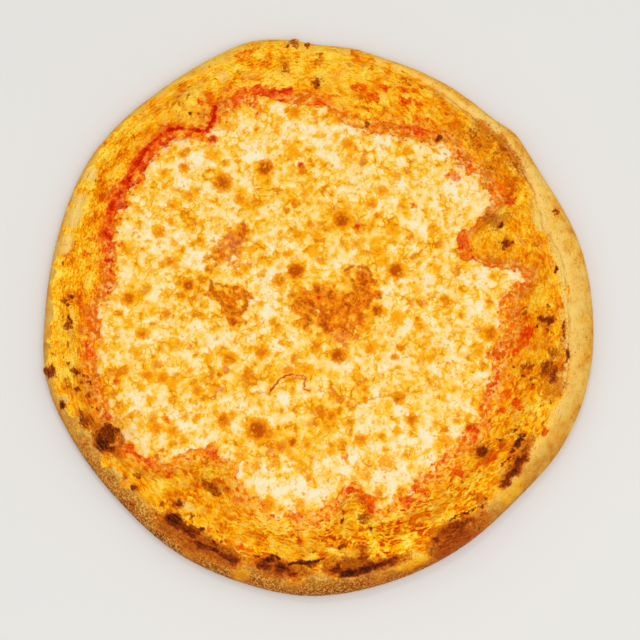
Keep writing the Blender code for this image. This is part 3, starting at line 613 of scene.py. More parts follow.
def speckle(tree, size, detail=2.0, offset=0.0, rough=0.5):
    """Noise from 0 to 1 in grains of about a size in metres."""
    return noise_at(tree, place(tree), 1 / size, detail, offset, rough)


def figure(tree, operation, first, second=0.0, third=0.0):
    """The result of one sum on numbers or sockets."""
    sum_of = tree.nodes.new("ShaderNodeMath")
    sum_of.operation = operation
    for socket, value in zip(sum_of.inputs, (first, second, third)):
        put(socket, value)
    return sum_of.outputs[0]


def between(tree, value, low, high, out_low=0.0, out_high=1.0):
    """Spreads a value smoothly from one range over another."""
    spread = tree.nodes.new("ShaderNodeMapRange")
    spread.interpolation_type = "SMOOTHSTEP"
    keys = ("Value", "From Min", "From Max", "To Min", "To Max")
    for key, setting in zip(keys, (value, low, high, out_low, out_high)):
        put(spread.inputs[key], setting)
    return spread.outputs["Result"]


def plus_grain(tree, value, *grains):
    """A value made uneven by noises of 0 to 1, each given as (noise, strength)."""
    for grain, strength in grains:
        push = figure(tree, "MULTIPLY_ADD", grain, 2 * strength, -strength)
        value = figure(tree, "ADD", value, push)
    return value


def blend(tree, share, first, second):
    """Two colours mixed by a share."""
    mixed = tree.nodes.new("ShaderNodeMix")
    mixed.data_type = "RGBA"
    put(mixed.inputs[0], share)
    put(mixed.inputs[6], first)
    put(mixed.inputs[7], second)
    return mixed.outputs[2]


def stained(tree, colour, value, *steps):
    """A colour overlaid as a value rises, in steps of (from value, to value, share, red, green, blue)."""
    for low, high, share, *tint in steps:
        colour = blend(tree, between(tree, value, low, high, 0.0, share), colour, rgb(*tint))
    return colour


def shades(tree, value, *stops):
    """A colour picked along a row of stops, each (place, red, green, blue)."""
    ramp = tree.nodes.new("ShaderNodeValToRGB")
    put(ramp.inputs["Fac"], value)
    row = ramp.color_ramp.elements
    while len(row) < len(stops):
        row.new(0.5)
    for stop, (where, *tint) in zip(row, stops):
        stop.position = where
        stop.color = rgb(*tint)
    return ramp.outputs["Color"]


def relief(tree, height, depth, before=None):
    """A fine roughness of the surface, from a height of 0 to 1 and its depth in metres."""
    bump = tree.nodes.new("ShaderNodeBump")
    bump.inputs["Distance"].default_value = depth
    put(bump.inputs["Height"], height)
    if before is not None:
        put(bump.inputs["Normal"], before)
    return bump.outputs["Normal"]


def dough_colour(tree):
    """Plain dough: pale gold where thick and soft, tan to brown as its darkness rises, with a painted
    highlight on the ridge beside the crease and painted shade in the crease.
    """
    grain = speckle(tree, 0.95 * MM, 2.0, 1.0, 0.6)
    cloud = speckle(tree, 5 * MM, 4.0, 2.0, 0.6)
    tone = plus_grain(tree, kept(tree, "dough_darkness"), (cloud, 0.42), (grain, 0.6))
    plain = shades(
        tree,
        tone,
        (0.05, 246, 208, 112),
        (0.25, 241, 186, 76),
        (0.45, 226, 156, 46),
        (0.65, 196, 114, 24),
        (0.85, 146, 70, 12),
        (1.0, 98, 40, 8),
    )
    rich = shades(
        tree,
        tone,
        (0.0, 253, 200, 58),
        (0.25, 250, 178, 18),
        (0.5, 234, 144, 8),
        (0.8, 194, 96, 4),
    )
    plain = blend(tree, kept(tree, "golden"), plain, rich)
    floury = between(tree, grain, 0.4, 0.6)
    speckled = shades(tree, floury, (0.0, 72, 30, 2), (0.5, 160, 86, 18), (1.0, 232, 176, 88))
    plain = blend(tree, figure(tree, "MULTIPLY", kept(tree, "flour"), 0.7), plain, speckled)
    # A painted highlight on the ridge beside the crease.
    plain = blend(tree, figure(tree, "MULTIPLY", kept(tree, "ridge"), 0.5), plain, rgb(250, 206, 112))
    # Painted shade in the crease: the dough darkened along it.
    crease = plus_grain(tree, kept(tree, "crease"), (cloud, 0.5))
    return stained(tree, plain, crease, (0.1, 1.0, 0.7, 158, 84, 22))


def vector_sum(tree, operation, *values):
    """The node that works out one sum on vectors."""
    sum_of = tree.nodes.new("ShaderNodeVectorMath")
    sum_of.operation = operation
    for socket, value in zip(sum_of.inputs, values):
        put(socket, value)
    return sum_of


def streaked(tree, length, width, offset, detail=3.0):
    """Noise from 0 to 1 that is drawn out along the rim."""
    from_centre = vector_sum(tree, "SUBTRACT", place(tree), (*RIM_MIDDLE, 0)).outputs[0]
    flat = vector_sum(tree, "MULTIPLY", from_centre, (1, 1, 0)).outputs[0]
    far = vector_sum(tree, "LENGTH", flat).outputs["Value"]
    aim = vector_sum(tree, "NORMALIZE", flat).outputs[0]
    round_rim = vector_sum(tree, "MULTIPLY", aim, (STREAK_RADIUS / length,) * 3).outputs[0]
    parts = tree.nodes.new("ShaderNodeSeparateXYZ")
    put(parts.inputs[0], round_rim)
    joined = tree.nodes.new("ShaderNodeCombineXYZ")
    put(joined.inputs["X"], parts.outputs["X"])
    put(joined.inputs["Y"], parts.outputs["Y"])
    wavy = figure(tree, "MULTIPLY_ADD", speckle(tree, 3 * MM, 2.0, offset + 0.5), 1.6 * MM, far)
    put(joined.inputs["Z"], figure(tree, "DIVIDE", wavy, width))
    return noise_at(tree, joined.outputs[0], 1, detail, offset, 0.6)


def baked_and_shaded_marks(tree, colour):
    """Browned and scorched patches, with painted shade in pits, holes and slits and under the fold, laid
    over a colour, broken up into grains.
    """
    fine = speckle(tree, 1.2 * MM, 3.0, 3.0, 0.6)
    soot = speckle(tree, 2.2 * MM, 4.0, 4.0, 0.65)
    browned_and_shaded = plus_grain(tree, kept(tree, "browned_and_shaded"), (fine, 0.5), (soot, 0.4))
    colour = stained(tree, colour, browned_and_shaded, (0.15, 0.7, 0.75, 204, 104, 12), (0.7, 1.05, 0.75, 150, 66, 10))
    peppered = figure(tree, "MULTIPLY", kept(tree, "browned_and_shaded"), between(tree, fine, 0.57, 0.64, 0.0, 1.2))
    colour = blend(tree, figure(tree, "MINIMUM", peppered, 0.85), colour, rgb(112, 50, 6))
    smear = streaked(tree, 5 * MM, 1.2 * MM, 8.0)
    return stained(
        tree,
        colour,
        plus_grain(tree, kept(tree, "scorched_and_shaded"), (fine, 0.6), (smear, 0.6)),
        (0.05, 0.5, 0.85, 178, 74, 4),
        (0.4, 0.75, 0.9, 116, 38, 2),
        (0.74, 1.1, 0.92, 44, 16, 4),
    )


def drawn_out(places):
    """The points stretched so that noise on them comes out as streaks that run along the rim."""
    turns, radii = from_middle(places)
    round_rim = STREAK_RADIUS / STREAK_LENGTH
    angles = np.radians(turns)
    return np.column_stack((np.cos(angles) * round_rim, np.sin(angles) * round_rim, radii / STREAK_WIDTH))


def webs(places):
    """The pattern of drawn-out strings, mostly from 0 to 1."""
    spots = drawn_out(wander(places, 6 * MM, 1.4 * MM)).tolist()
    return 0.5 + 0.75 * np.array([noise.fractal(spot, 0.9, 2.1, 3) for spot in spots])


def along_lines(places, lines):
    """How strongly drawn lines, each (points in mm, width in mm, strength), cover each point."""
    xy = places[:, :2] / MM
    cover = np.zeros(len(xy))
    for points, width, strength in lines:
        for start, end in zip(np.array(points[:-1], float), np.array(points[1:], float)):
            step = end - start
            share = np.clip((xy - start) @ step / (step @ step), 0, 1)
            far = np.linalg.norm(xy - start - share[:, None] * step, axis=1)
            cover = np.maximum(cover, strength * np.exp(-((far / width) ** 2)))
    return cover


def coat(piece, redder):
    """Works out how oil, sauce and shreds of cheese colour each point, and keeps it on the piece."""
    places = points_of(piece)
    turns, radii = from_middle(places)
    past_cheese = radii - cheese_reach(turns)
    keep(piece, "web", webs(places))
    keep(piece, "streaky", around(STREAKS, turns))
    warmth = around(WARMTH, turns) + 0.3 * lumps(places, 13 * MM, 2)
    warmth += 0.6 * (1 - ease(past_cheese / (13 * MM)))
    # Bubble tops are paler where the oil ran off, and the big dome at the upper left carries a painted
    # highlight.
    keep(piece, "warmth", warmth - 0.6 * marks(wander(places, 5 * MM, 1.5 * MM), PALE_AND_HIGHLIT_TOPS))
    loose = wander(wander(places, 4 * MM, 1.4 * MM), 1.6 * MM, 0.7 * MM)
    drawn = wander(places, 2.2 * MM, 0.5 * MM)
    bands = along_lines(drawn, SAUCE_BANDS) * (0.85 + 0.35 * lumps(places, 4 * MM, 2, 51.0))
    red = np.maximum(0.72 * marks(loose, SAUCE_PATCHES), bands)
    rise = redder * (1 - ease(past_cheese / (9 * MM))) * (0.7 + 0.6 * lumps(places, 5 * MM, 2, 3.0))
    rise *= around(TOMATO, turns)
    keep(piece, "red", np.maximum(red, rise))
    keep(piece, "bare", marks(wander(places, 4 * MM, 1.2 * MM), BARE_PATCHES))
    shreds = 1 - ease((past_cheese - 1 * MM) / (9 * MM))
    shreds *= 0.75 + 0.5 * lumps(places, 5 * MM, 2, 33.0)
    keep(piece, "shred", shreds * np.maximum(1 - 1.1 * red, 0))
    past = (radii - crease_radius(turns)) / MM - around(OIL_REACH, turns)
    past += 3.4 * lumps(places, 6 * MM, 3, 21.0) + 2.5 * lumps(places, 15 * MM, 1, 27.0)
    keep(piece, "oiled", 1 - ease(past / 3.4 + 0.5))


def oily_colour(tree):
    """Amber oil with strings of cheese and streaks of tomato drawn through it, and painted shade in the gaps
    between the strings.
    """
    cloud = speckle(tree, 7 * MM, 3.0, 20.0)
    fine = speckle(tree, 1.3 * MM, 2.0, 21.0, 0.55)
    drawn = streaked(tree, 3.2 * MM, 0.9 * MM, 24.0)
    amber = shades(
        tree,
        plus_grain(tree, kept(tree, "warmth"), (cloud, 1.05), (fine, 0.95), (drawn, 1.15)),
        (0.0, 255, 222, 82),
        (0.2, 255, 196, 12),
        (0.45, 254, 166, 0),
        (0.7, 242, 126, 0),
        (0.95, 206, 76, 0),
    )
    strands = speckle(tree, 9 * MM, 2.0, 25.0)
    streaks = shades(
        tree,
        plus_grain(tree, kept(tree, "web"), (drawn, 0.5), (fine, 0.55), (strands, 0.7)),
        (0.08, 198, 54, 0),
        (0.24, 236, 104, 0),
        (0.38, 251, 148, 0),
        (0.52, 255, 180, 2),
        (0.7, 255, 204, 24),
        (0.92, 255, 226, 104),
    )
    stringy = between(tree, speckle(tree, 14 * MM, 2.0, 27.0), 0.36, 0.58, 0.55, 1.0)
    stringy = figure(tree, "MULTIPLY", kept(tree, "streaky"), stringy)
    colour = blend(tree, stringy, amber, streaks)
    # Painted shade in the gaps between strings of cheese: short dark dashes on the stringy parts.
    gap_shade_noise = streaked(tree, 2.6 * MM, 0.9 * MM, 26.0, 2.0)
    gap_shade = figure(tree, "MULTIPLY_ADD", stringy, 0.6, 0.2)
    gap_shade = figure(tree, "MULTIPLY", gap_shade, between(tree, gap_shade_noise, 0.3, 0.4, 1.0, 0.0))
    colour = blend(tree, gap_shade, colour, rgb(180, 76, 2))
    colour = stained(
        tree,
        colour,
        plus_grain(tree, kept(tree, "red"), (fine, 0.35), (drawn, 0.6)),
        (0.12, 0.5, 0.85, 242, 112, 0),
        (0.4, 0.75, 0.92, 226, 58, 0),
        (0.68, 1.0, 1.0, 188, 16, 2),
    )
    clots = speckle(tree, 2.2 * MM, 3.0, 28.0, 0.55)
    shred = figure(tree, "MULTIPLY", kept(tree, "shred"), between(tree, clots, 0.46, 0.62))
    colour = blend(tree, figure(tree, "MULTIPLY", shred, 0.8), colour, rgb(253, 210, 106))
    ragged_bare = plus_grain(tree, kept(tree, "bare"), (fine, 0.5))
    return blend(tree, between(tree, ragged_bare, 0.3, 0.8, 0.0, 0.9), colour, dough_colour(tree))


def rim_colour(tree):
    """Dough where it is dry, oil and sauce where they lie on it, and the oven's marks over both, with
    painted shade in pits, holes and slits.
    """
    fine = speckle(tree, 1.3 * MM, 3.0, 21.0, 0.6)
    oiled = plus_grain(tree, kept(tree, "oiled"), (fine, 0.5))
    colour = blend(tree, between(tree, oiled, 0.2, 0.8), dough_colour(tree), oily_colour(tree))
    return baked_and_shaded_marks(tree, colour)


dough = solid_copy("crust", "dough", 2)
dough_top = top_of(dough.data)
shape_rim(dough, grain=1.0)
bake_and_shade(dough)
coat(dough, redder=0.3)

baked_dough, tree, shader = blank("baked_dough")
put(shader.inputs["Base Color"], rim_colour(tree))
crumb = speckle(tree, 0.7 * MM, 4.0, 5.0, 0.7)
put(shader.inputs["Roughness"], between(tree, crumb, 0.3, 0.7, 0.62, 0.8))
shader.inputs["Specular IOR Level"].default_value = 0.06
pores = relief(tree, crumb, 0.25 * MM)
put(shader.inputs["Normal"], relief(tree, speckle(tree, 3 * MM, 3.0, 6.0), 0.5 * MM, pores))
dough.data.materials.append(baked_dough)

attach(dough, "root")
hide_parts("crust")


# ---- The tomato sauce ---------------------------------------------------------------------------
# Cooked tomato spread thin on the dough, which shows past the cheese all round: deep red where it is
# thick and bare, orange where oil and cheese ran over it. The solid layer joined up, rounded and lumped.

SAUCE_LUMPS = 0.3 * MM

sauce = solid_copy("sauce", "tomato_sauce", 3)
places = points_of(sauce)
upward = ease(facing(sauce)[:, 2] * 2)
places[:, 2] += SAUCE_LUMPS * (lumps(places, 3 * MM, 3) + 0.3) * upward
move_points(sauce, places)
bake_and_shade(sauce)
coat(sauce, redder=1.0)

sauce_top = top_of(sauce.data)

wet_sauce, tree, shader = blank("wet_sauce")
put(shader.inputs["Base Color"], rim_colour(tree))
shader.inputs["Roughness"].default_value = 0.38
shader.inputs["Specular IOR Level"].default_value = 0.06
shader.inputs["Specular Tint"].default_value = (1, 0.65, 0.3, 1)
pulp = relief(tree, speckle(tree, 1.3 * MM, 3.0, 30.0, 0.6), 0.3 * MM)
put(shader.inputs["Normal"], relief(tree, speckle(tree, 2.6 * MM, 2.0, 31.0), 0.5 * MM, pulp))
sauce.data.materials.append(wet_sauce)

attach(sauce, "root")
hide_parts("sauce")


# ---- The film on the rim ------------------------------------------------------------------------
# Oil, tomato and the thinnest strings of cheese that ran up the rim and baked onto it: glossy amber,
# redder near the sauce, drawn out along the rim into webs and streaks. A skin lifted off the dough and
# the sauce, its outer edge sunk into the dough and its inner edge under the cheese or into the sauce.

# The film's thickness, how far its edges sink, the height of its hidden floor, its rows of faces round
# and across the rim, how far it reaches under the cheese and over the crease, the height of the strings
# on it, and how wide a strip of sauce it leaves bare.
FILM = 0.35 * MM
FILM_SUNK = 0.9 * MM
FILM_FLOOR = 1.5 * MM
FILM_ROUND = 1640
FILM_ACROSS = 50
FILM_UNDER = 1.5 * MM
FILM_OVER = 1.2 * MM
STRAND = 0.28 * MM
BARE_SAUCE = 6.5 * MM


def heights_under(surface, spots):
    """The height of a surface straight under each spot, or 0 where there is none."""
    above = 50 * MM
    down = Vector((0, 0, -1))
    hits = [surface.ray_cast(Vector((x, y, above)), down)[0] for x, y in spots.tolist()]
    return np.array([0 if hit is None else hit.z for hit in hits])


def evened(rows, passes):
    """A grid of heights, smoothed over its neighbours."""
    for _ in range(passes):
        wide = np.pad(rows, 1, mode="edge")
        up_and_down = wide[1:-1, 1:-1] * 2 + wide[:-2, 1:-1] + wide[2:, 1:-1]
        rows = (up_and_down + wide[1:-1, :-2] + wide[1:-1, 2:]) / 6
    return rows


def wall_down(sheet, height):
    """Pulls walls down from a sheet's open borders to one height, and gives back their lower edges."""
    border = [edge for edge in sheet.edges if edge.is_boundary]
    made = bmesh.ops.extrude_edge_only(sheet, edges=border)["geom"]
    for corner in made:
        if isinstance(corner, bmesh.types.BMVert):
            corner.co.z = height
    return [part for part in made if isinstance(part, bmesh.types.BMEdge) and part.is_boundary]


bpy.ops.object.select_all(action="DESELECT")
bpy.ops.mesh.primitive_grid_add(x_subdivisions=FILM_ROUND, y_subdivisions=FILM_ACROSS, size=1)
film = bpy.context.object
film.name = film.data.name = "rim_film"
shares = points_of(film) + 0.5
turns = shares[:, 0] * 360
inner = cheese_reach(turns) - FILM_UNDER
radii = inner + shares[:, 1] * (crease_radius(turns) + FILM_OVER - inner)
angles = np.radians(turns)
places = np.column_stack((np.cos(angles) * radii, np.sin(angles) * radii, 0 * radii))
places[:, :2] += RIM_MIDDLE
cells = np.round(shares[:, :2] * (FILM_ROUND, FILM_ACROSS)).astype(int)
order = np.lexsort((cells[:, 1], cells[:, 0]))
tops = np.maximum(heights_under(dough_top, places[:, :2]), heights_under(sauce_top, places[:, :2]))
rows = evened(tops[order].reshape(FILM_ROUND + 1, FILM_ACROSS + 1), 6)
rows[-1] = rows[0]
places[order, 2] = rows.ravel()
move_points(film, places)

# The ring's two ends are joined, both borders go down to one height and a floor closes it.
ring = bmesh.new()
ring.from_mesh(film.data)
bmesh.ops.remove_doubles(ring, verts=ring.verts, dist=SAME)
bmesh.ops.bridge_loops(ring, edges=wall_down(ring, FILM_FLOOR))
bmesh.ops.recalc_face_normals(ring, faces=ring.faces)
ring.to_mesh(film.data)
ring.free()
bpy.ops.object.shade_smooth_by_angle(angle=math.radians(60))
shape_rim(film, grain=0.6)

places = points_of(film)
turns, radii = from_middle(places)
web = webs(places)
ragged = 1.1 * MM * lumps(places, 3.2 * MM, 3, 5.0) + 1.5 * MM * lumps(places, 12 * MM, 1, 9.0)
to_outer = crease_radius(turns) - 0.9 * MM - np.maximum(ragged, -1 * MM) - radii
showing = BARE_SAUCE * around(TOMATO, turns) * ease(0.5 + 1.2 * lumps(places, 6 * MM, 3, 41.0))
to_inner = radii - cheese_reach(turns) + 1 * MM - showing
cover = ease(np.minimum(to_outer / (1.6 * MM), to_inner / (1.2 * MM)) + 0.5)
lift = FILM * cover - FILM_SUNK * (1 - cover)
lift += STRAND * around(STREAKS, turns) * (ease((web - 0.35) / 0.4) - 0.5) * cover
lift *= places[:, 2] > 2 * MM
places[:, 2] += lift
move_points(film, places)
bake_and_shade(film)
coat(film, redder=0.6)

baked_film, tree, shader = blank("baked_film")
put(shader.inputs["Base Color"], rim_colour(tree))
dry = figure(tree, "MAXIMUM", kept(tree, "scorched_and_shaded"), kept(tree, "bare"))
put(shader.inputs["Roughness"], between(tree, dry, 0.2, 0.8, 0.4, 0.62))
shader.inputs["Specular IOR Level"].default_value = 0.07
shader.inputs["Specular Tint"].default_value = (1, 0.7, 0.25, 1)
crumbs = relief(tree, speckle(tree, 1.2 * MM, 3.0, 22.0, 0.6), 0.28 * MM)
crumbs = relief(tree, streaked(tree, 3.2 * MM, 0.8 * MM, 24.0), 0.5 * MM, crumbs)
put(shader.inputs["Normal"], relief(tree, speckle(tree, 2.6 * MM, 3.0, 23.0), 0.8 * MM, crumbs))
film.data.materials.append(baked_film)

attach(film, "root")


# ---- The melted cheese --------------------------------------------------------------------------
# Mozzarella melted into one sheet: milky where the curd is thick, amber where its oil gathered, with
# round blisters browned by the oven. A fine grid trimmed to a ragged edge and laid over the solid slab.

# Round blisters browned in the sheet, and flecks of tomato in it, as (x, y, radius, strength) readings.
BLISTER_SPOTS = read_off(BLISTER_TOP, (
    (264.8, 168.2, 7, 0.9), (222.4, 183, 8, 0.8), (182.7, 154, 4.5, 0.55), (187, 151, 3, 0.5),
    (183.6, 167.3, 4.5, 0.6), (163, 172.7, 4, 0.5), (163, 187, 4, 0.35), (188, 195, 5.5, 0.45),
    (138, 187, 5, 0.35), (204, 175.8, 3, 0.5), (209.5, 155.7, 5.5, 0.3), (227.3, 127, 5, 0.4),
    (236, 118, 4, 0.3), (172, 205.7, 4.5, 0.5), (168.4, 152, 4.5, 0.3), (240, 199, 5, 0.55),
    (247, 205, 4, 0.45), (298, 235, 4.5, 0.55), (286, 254, 4, 0.45), (295, 270.5, 7.5, 1),
    (279, 280.5, 5, 0.7), (260, 275, 4, 0.4), (209.7, 268.9, 4.5, 0.75), (244, 269, 4, 0.5),
    (237, 273.5, 3.5, 0.5), (187.5, 285, 5, 0.9), (192.5, 244, 4, 0.5), (241.8, 232.7, 5, 0.55),
    (251, 250.5, 4, 0.35), (170.5, 221.5, 4, 0.4), (202, 223, 4, 0.35), (158.6, 231.6, 5, 0.6),
    (170, 261.4, 4.5, 0.6), (161.5, 265, 4, 0.5), (174.7, 242.5, 4, 0.3), (166, 313, 4.2, 0.6),
    (178, 342, 4.5, 0.35), (208.5, 354, 4, 0.35), (229, 358.4, 5.5, 0.75), (261, 351.5, 6, 0.6),
    (258.5, 324.6, 3.5, 0.3), (282.6, 343.5, 3, 0.4), (260, 302.7, 4, 0.35), (314, 251.7, 5, 0.35),
    (317.6, 233.3, 4.5, 0.35), (315.4, 346.4, 5, 0.65), (286.6, 370, 5, 0.45), (306, 368.8, 5, 0.45),
    (297, 370, 4, 0.35), (188, 371, 4.5, 0.35), (161.5, 378, 5, 0.55), (141.8, 334.6, 5, 0.6),
    (135.5, 351.6, 6, 0.35), (147, 375.7, 5.5, 0.55), (173, 385.5, 4, 0.35), (140.9, 387.3, 4, 0.35),
    (147, 399, 4, 0.3), (169.5, 400.7, 3, 0.5), (127.5, 298, 6.5, 0.7), (98, 343.6, 5, 0.4),
    (154.5, 427.7, 6.5, 0.5), (173.2, 430.4, 5.5, 0.5), (130.4, 416, 4, 0.6), (223, 420, 6, 0.7),
    (231, 414.4, 4, 0.4), (197, 391, 5, 0.5), (184, 418, 4, 0.4), (197, 418, 4, 0.4),
    (305, 193, 4, 0.4), (286, 143.4, 4, 0.35), (292.3, 152.3, 6, 0.35), (349.5, 158.6, 6.5, 0.3),
    (346.8, 143.8, 5, 0.5), (337.9, 119.3, 5, 0.4), (294.6, 112, 5, 0.55), (312.9, 112, 3.5, 0.4),
    (321.8, 136, 3, 0.3), (400.4, 136, 4, 0.5), (396.8, 154, 4, 0.3), (341, 220, 8, 0.85),
    (371, 204, 5, 0.5), (382, 190, 5, 0.45), (396, 175, 5, 0.4), (433, 229, 5, 0.45),
    (391, 230, 5, 0.4), (356, 243, 5, 0.4), (378, 250, 5, 0.4), (383, 261, 5, 0.4), (396, 271, 7, 0.9),
    (376.5, 310.3, 5, 0.9), (365.6, 327.6, 4, 0.6), (336.9, 355, 6.2, 0.9), (369, 348, 5, 0.5),
    (419, 326.4, 5.5, 0.45), (397, 318, 7, 0.35), (390.8, 334.4, 4, 0.3), (426.4, 342.5, 4.5, 0.35),
    (394.3, 357.4, 3.5, 0.5), (490, 333.3, 6.8, 0.7), (477.5, 351.7, 5.5, 0.4), (397.7, 398, 5.5, 0.75),
    (347.8, 404, 4, 0.5), (364.4, 389.5, 4.5, 0.45), (410.4, 419.4, 5.5, 0.7),
    (359.8, 439.8, 5.5, 0.55), (444.8, 440.6, 6, 0.4), (386, 463, 7, 0.35), (483, 407, 6, 0.45),
    (398, 431, 3.5, 0.35), (256.3, 429.4, 9, 0.95), (268, 434, 5, 0.6), (291.8, 442.6, 4.5, 0.8),
    (280.4, 446.6, 5, 0.6), (306.8, 444.3, 4.5, 0.5), (330.9, 416.7, 4.5, 0.7), (330.3, 451.2, 4, 0.4),
    (293, 458, 4, 0.35), (255, 466, 5, 0.35), (271, 466, 4.5, 0.3), (240, 454.6, 5, 0.4),
    (267.7, 504.6, 5, 0.55), (297.6, 504, 5.5, 0.35), (308, 477.6, 3.2, 0.45), (341.8, 479.3, 3.5, 0.3),
    (365.3, 476.4, 4.5, 0.4), (364, 399.5, 2.8, 0.6), (235, 341, 3.5, 0.35), (218.9, 374.5, 2.5, 0.8),
    (212, 390, 3.5, 0.3), (436, 134, 4.5, 0.8),
))
RED_FLECKS = read_off(BLISTER_TOP, (
    (300, 165, 3.5, 0.9), (357, 227, 4, 1), (364, 302, 3, 0.9), (345, 458, 3, 0.9),
    (357.3, 468.4, 2.5, 0.7), (327.4, 480, 2.3, 0.7), (318, 297.6, 4, 1), (211.3, 138.8, 5.5, 1),
    (185.4, 141.4, 4, 0.5), (254, 105.7, 3.5, 0.9), (257.7, 113, 3.5, 0.8), (413, 205, 4, 0.8),
    (434, 258, 3, 0.6), (450, 175, 6, 0.7), (456, 178, 5, 0.8), (459, 167, 4, 0.6),
    (371.8, 129, 3.5, 0.6), (121.3, 244, 4, 0.8), (364, 389, 2.5, 0.6), (485, 334, 2, 0.3),
    (490.6, 353.5, 5.5, 0.9), (500.8, 346, 4, 0.8), (458, 414.8, 3, 0.7), (165.2, 418, 4, 0.7),
    (115.9, 382, 4, 0.9), (124, 368.6, 3, 0.6), (161.4, 450, 3, 0.8), (472, 232, 3, 0.5),
    (416, 489, 3, 0.5), (378, 343, 2, 0.4), (267, 339.5, 2, 0.5), (357, 250, 2.5, 0.4),
    (318, 322, 3, 0.5),
))

# Lines in the sheet: thin browned veins, a red crack, curled threads that browned, and raised folds,
# each as (points along it in mm, width in mm, strength).
VEINS = (
    (((44.5, -26.5), (60.5, -29), (73.5, -31.5)), 0.8, 0.8),
    (((64.5, -19.5), (65.5, -31), (66.5, -39.5)), 0.7, 0.7),
    (((49.5, -22.5), (51, -30.5)), 0.7, 0.6),
    (((69.5, -2.5), (71, -10)), 0.7, 0.6),
    (((17, -57.5), (23.5, -53.5), (36.5, -49.5), (51.5, -49.5)), 1.0, 1.0),
    (((51, -47.5), (52.5, -42.5)), 0.8, 0.6),
    (((-38, -47.5), (-27.5, -48.5)), 0.8, 0.8),
)
RED_CRACKS = (
    (
        ((-27.5, -48.5), (-25.5, -45.5), (-21.5, -40), (-15.5, -37.5), (-7, -39), (-8.5, -46), (-5, -47)),
        0.6,
        0.9,
    ),
)
CURLS = (
    (((-60.5, 16), (-60, 10), (-54.5, 4.5), (-52.5, -1), (-49, -3)), 1.1, 0.9),
    (((-41.5, 7), (-40, 2), (-43.5, -2.5), (-49, -3)), 1.5, 0.9),
    (((-57, 14), (-50, 11.5), (-47.5, 6)), 1.0, 0.8),
    (((-13, 4), (-9, 1), (-1.5, -3.5)), 1.8, 0.8),
    (((14, 21), (20, 24.5), (27, 23.5), (29, 18)), 1.4, 0.8),
    (((19, 16), (22, 8), (20, 3)), 1.6, 0.8),
)
FOLDS = (
    (((89, 60.5), (99.5, 62.5), (108, 63)), 2.2, 1.0),
    (((92, 35.5), (99, 44), (108, 47.5)), 1.6, 0.9),
)

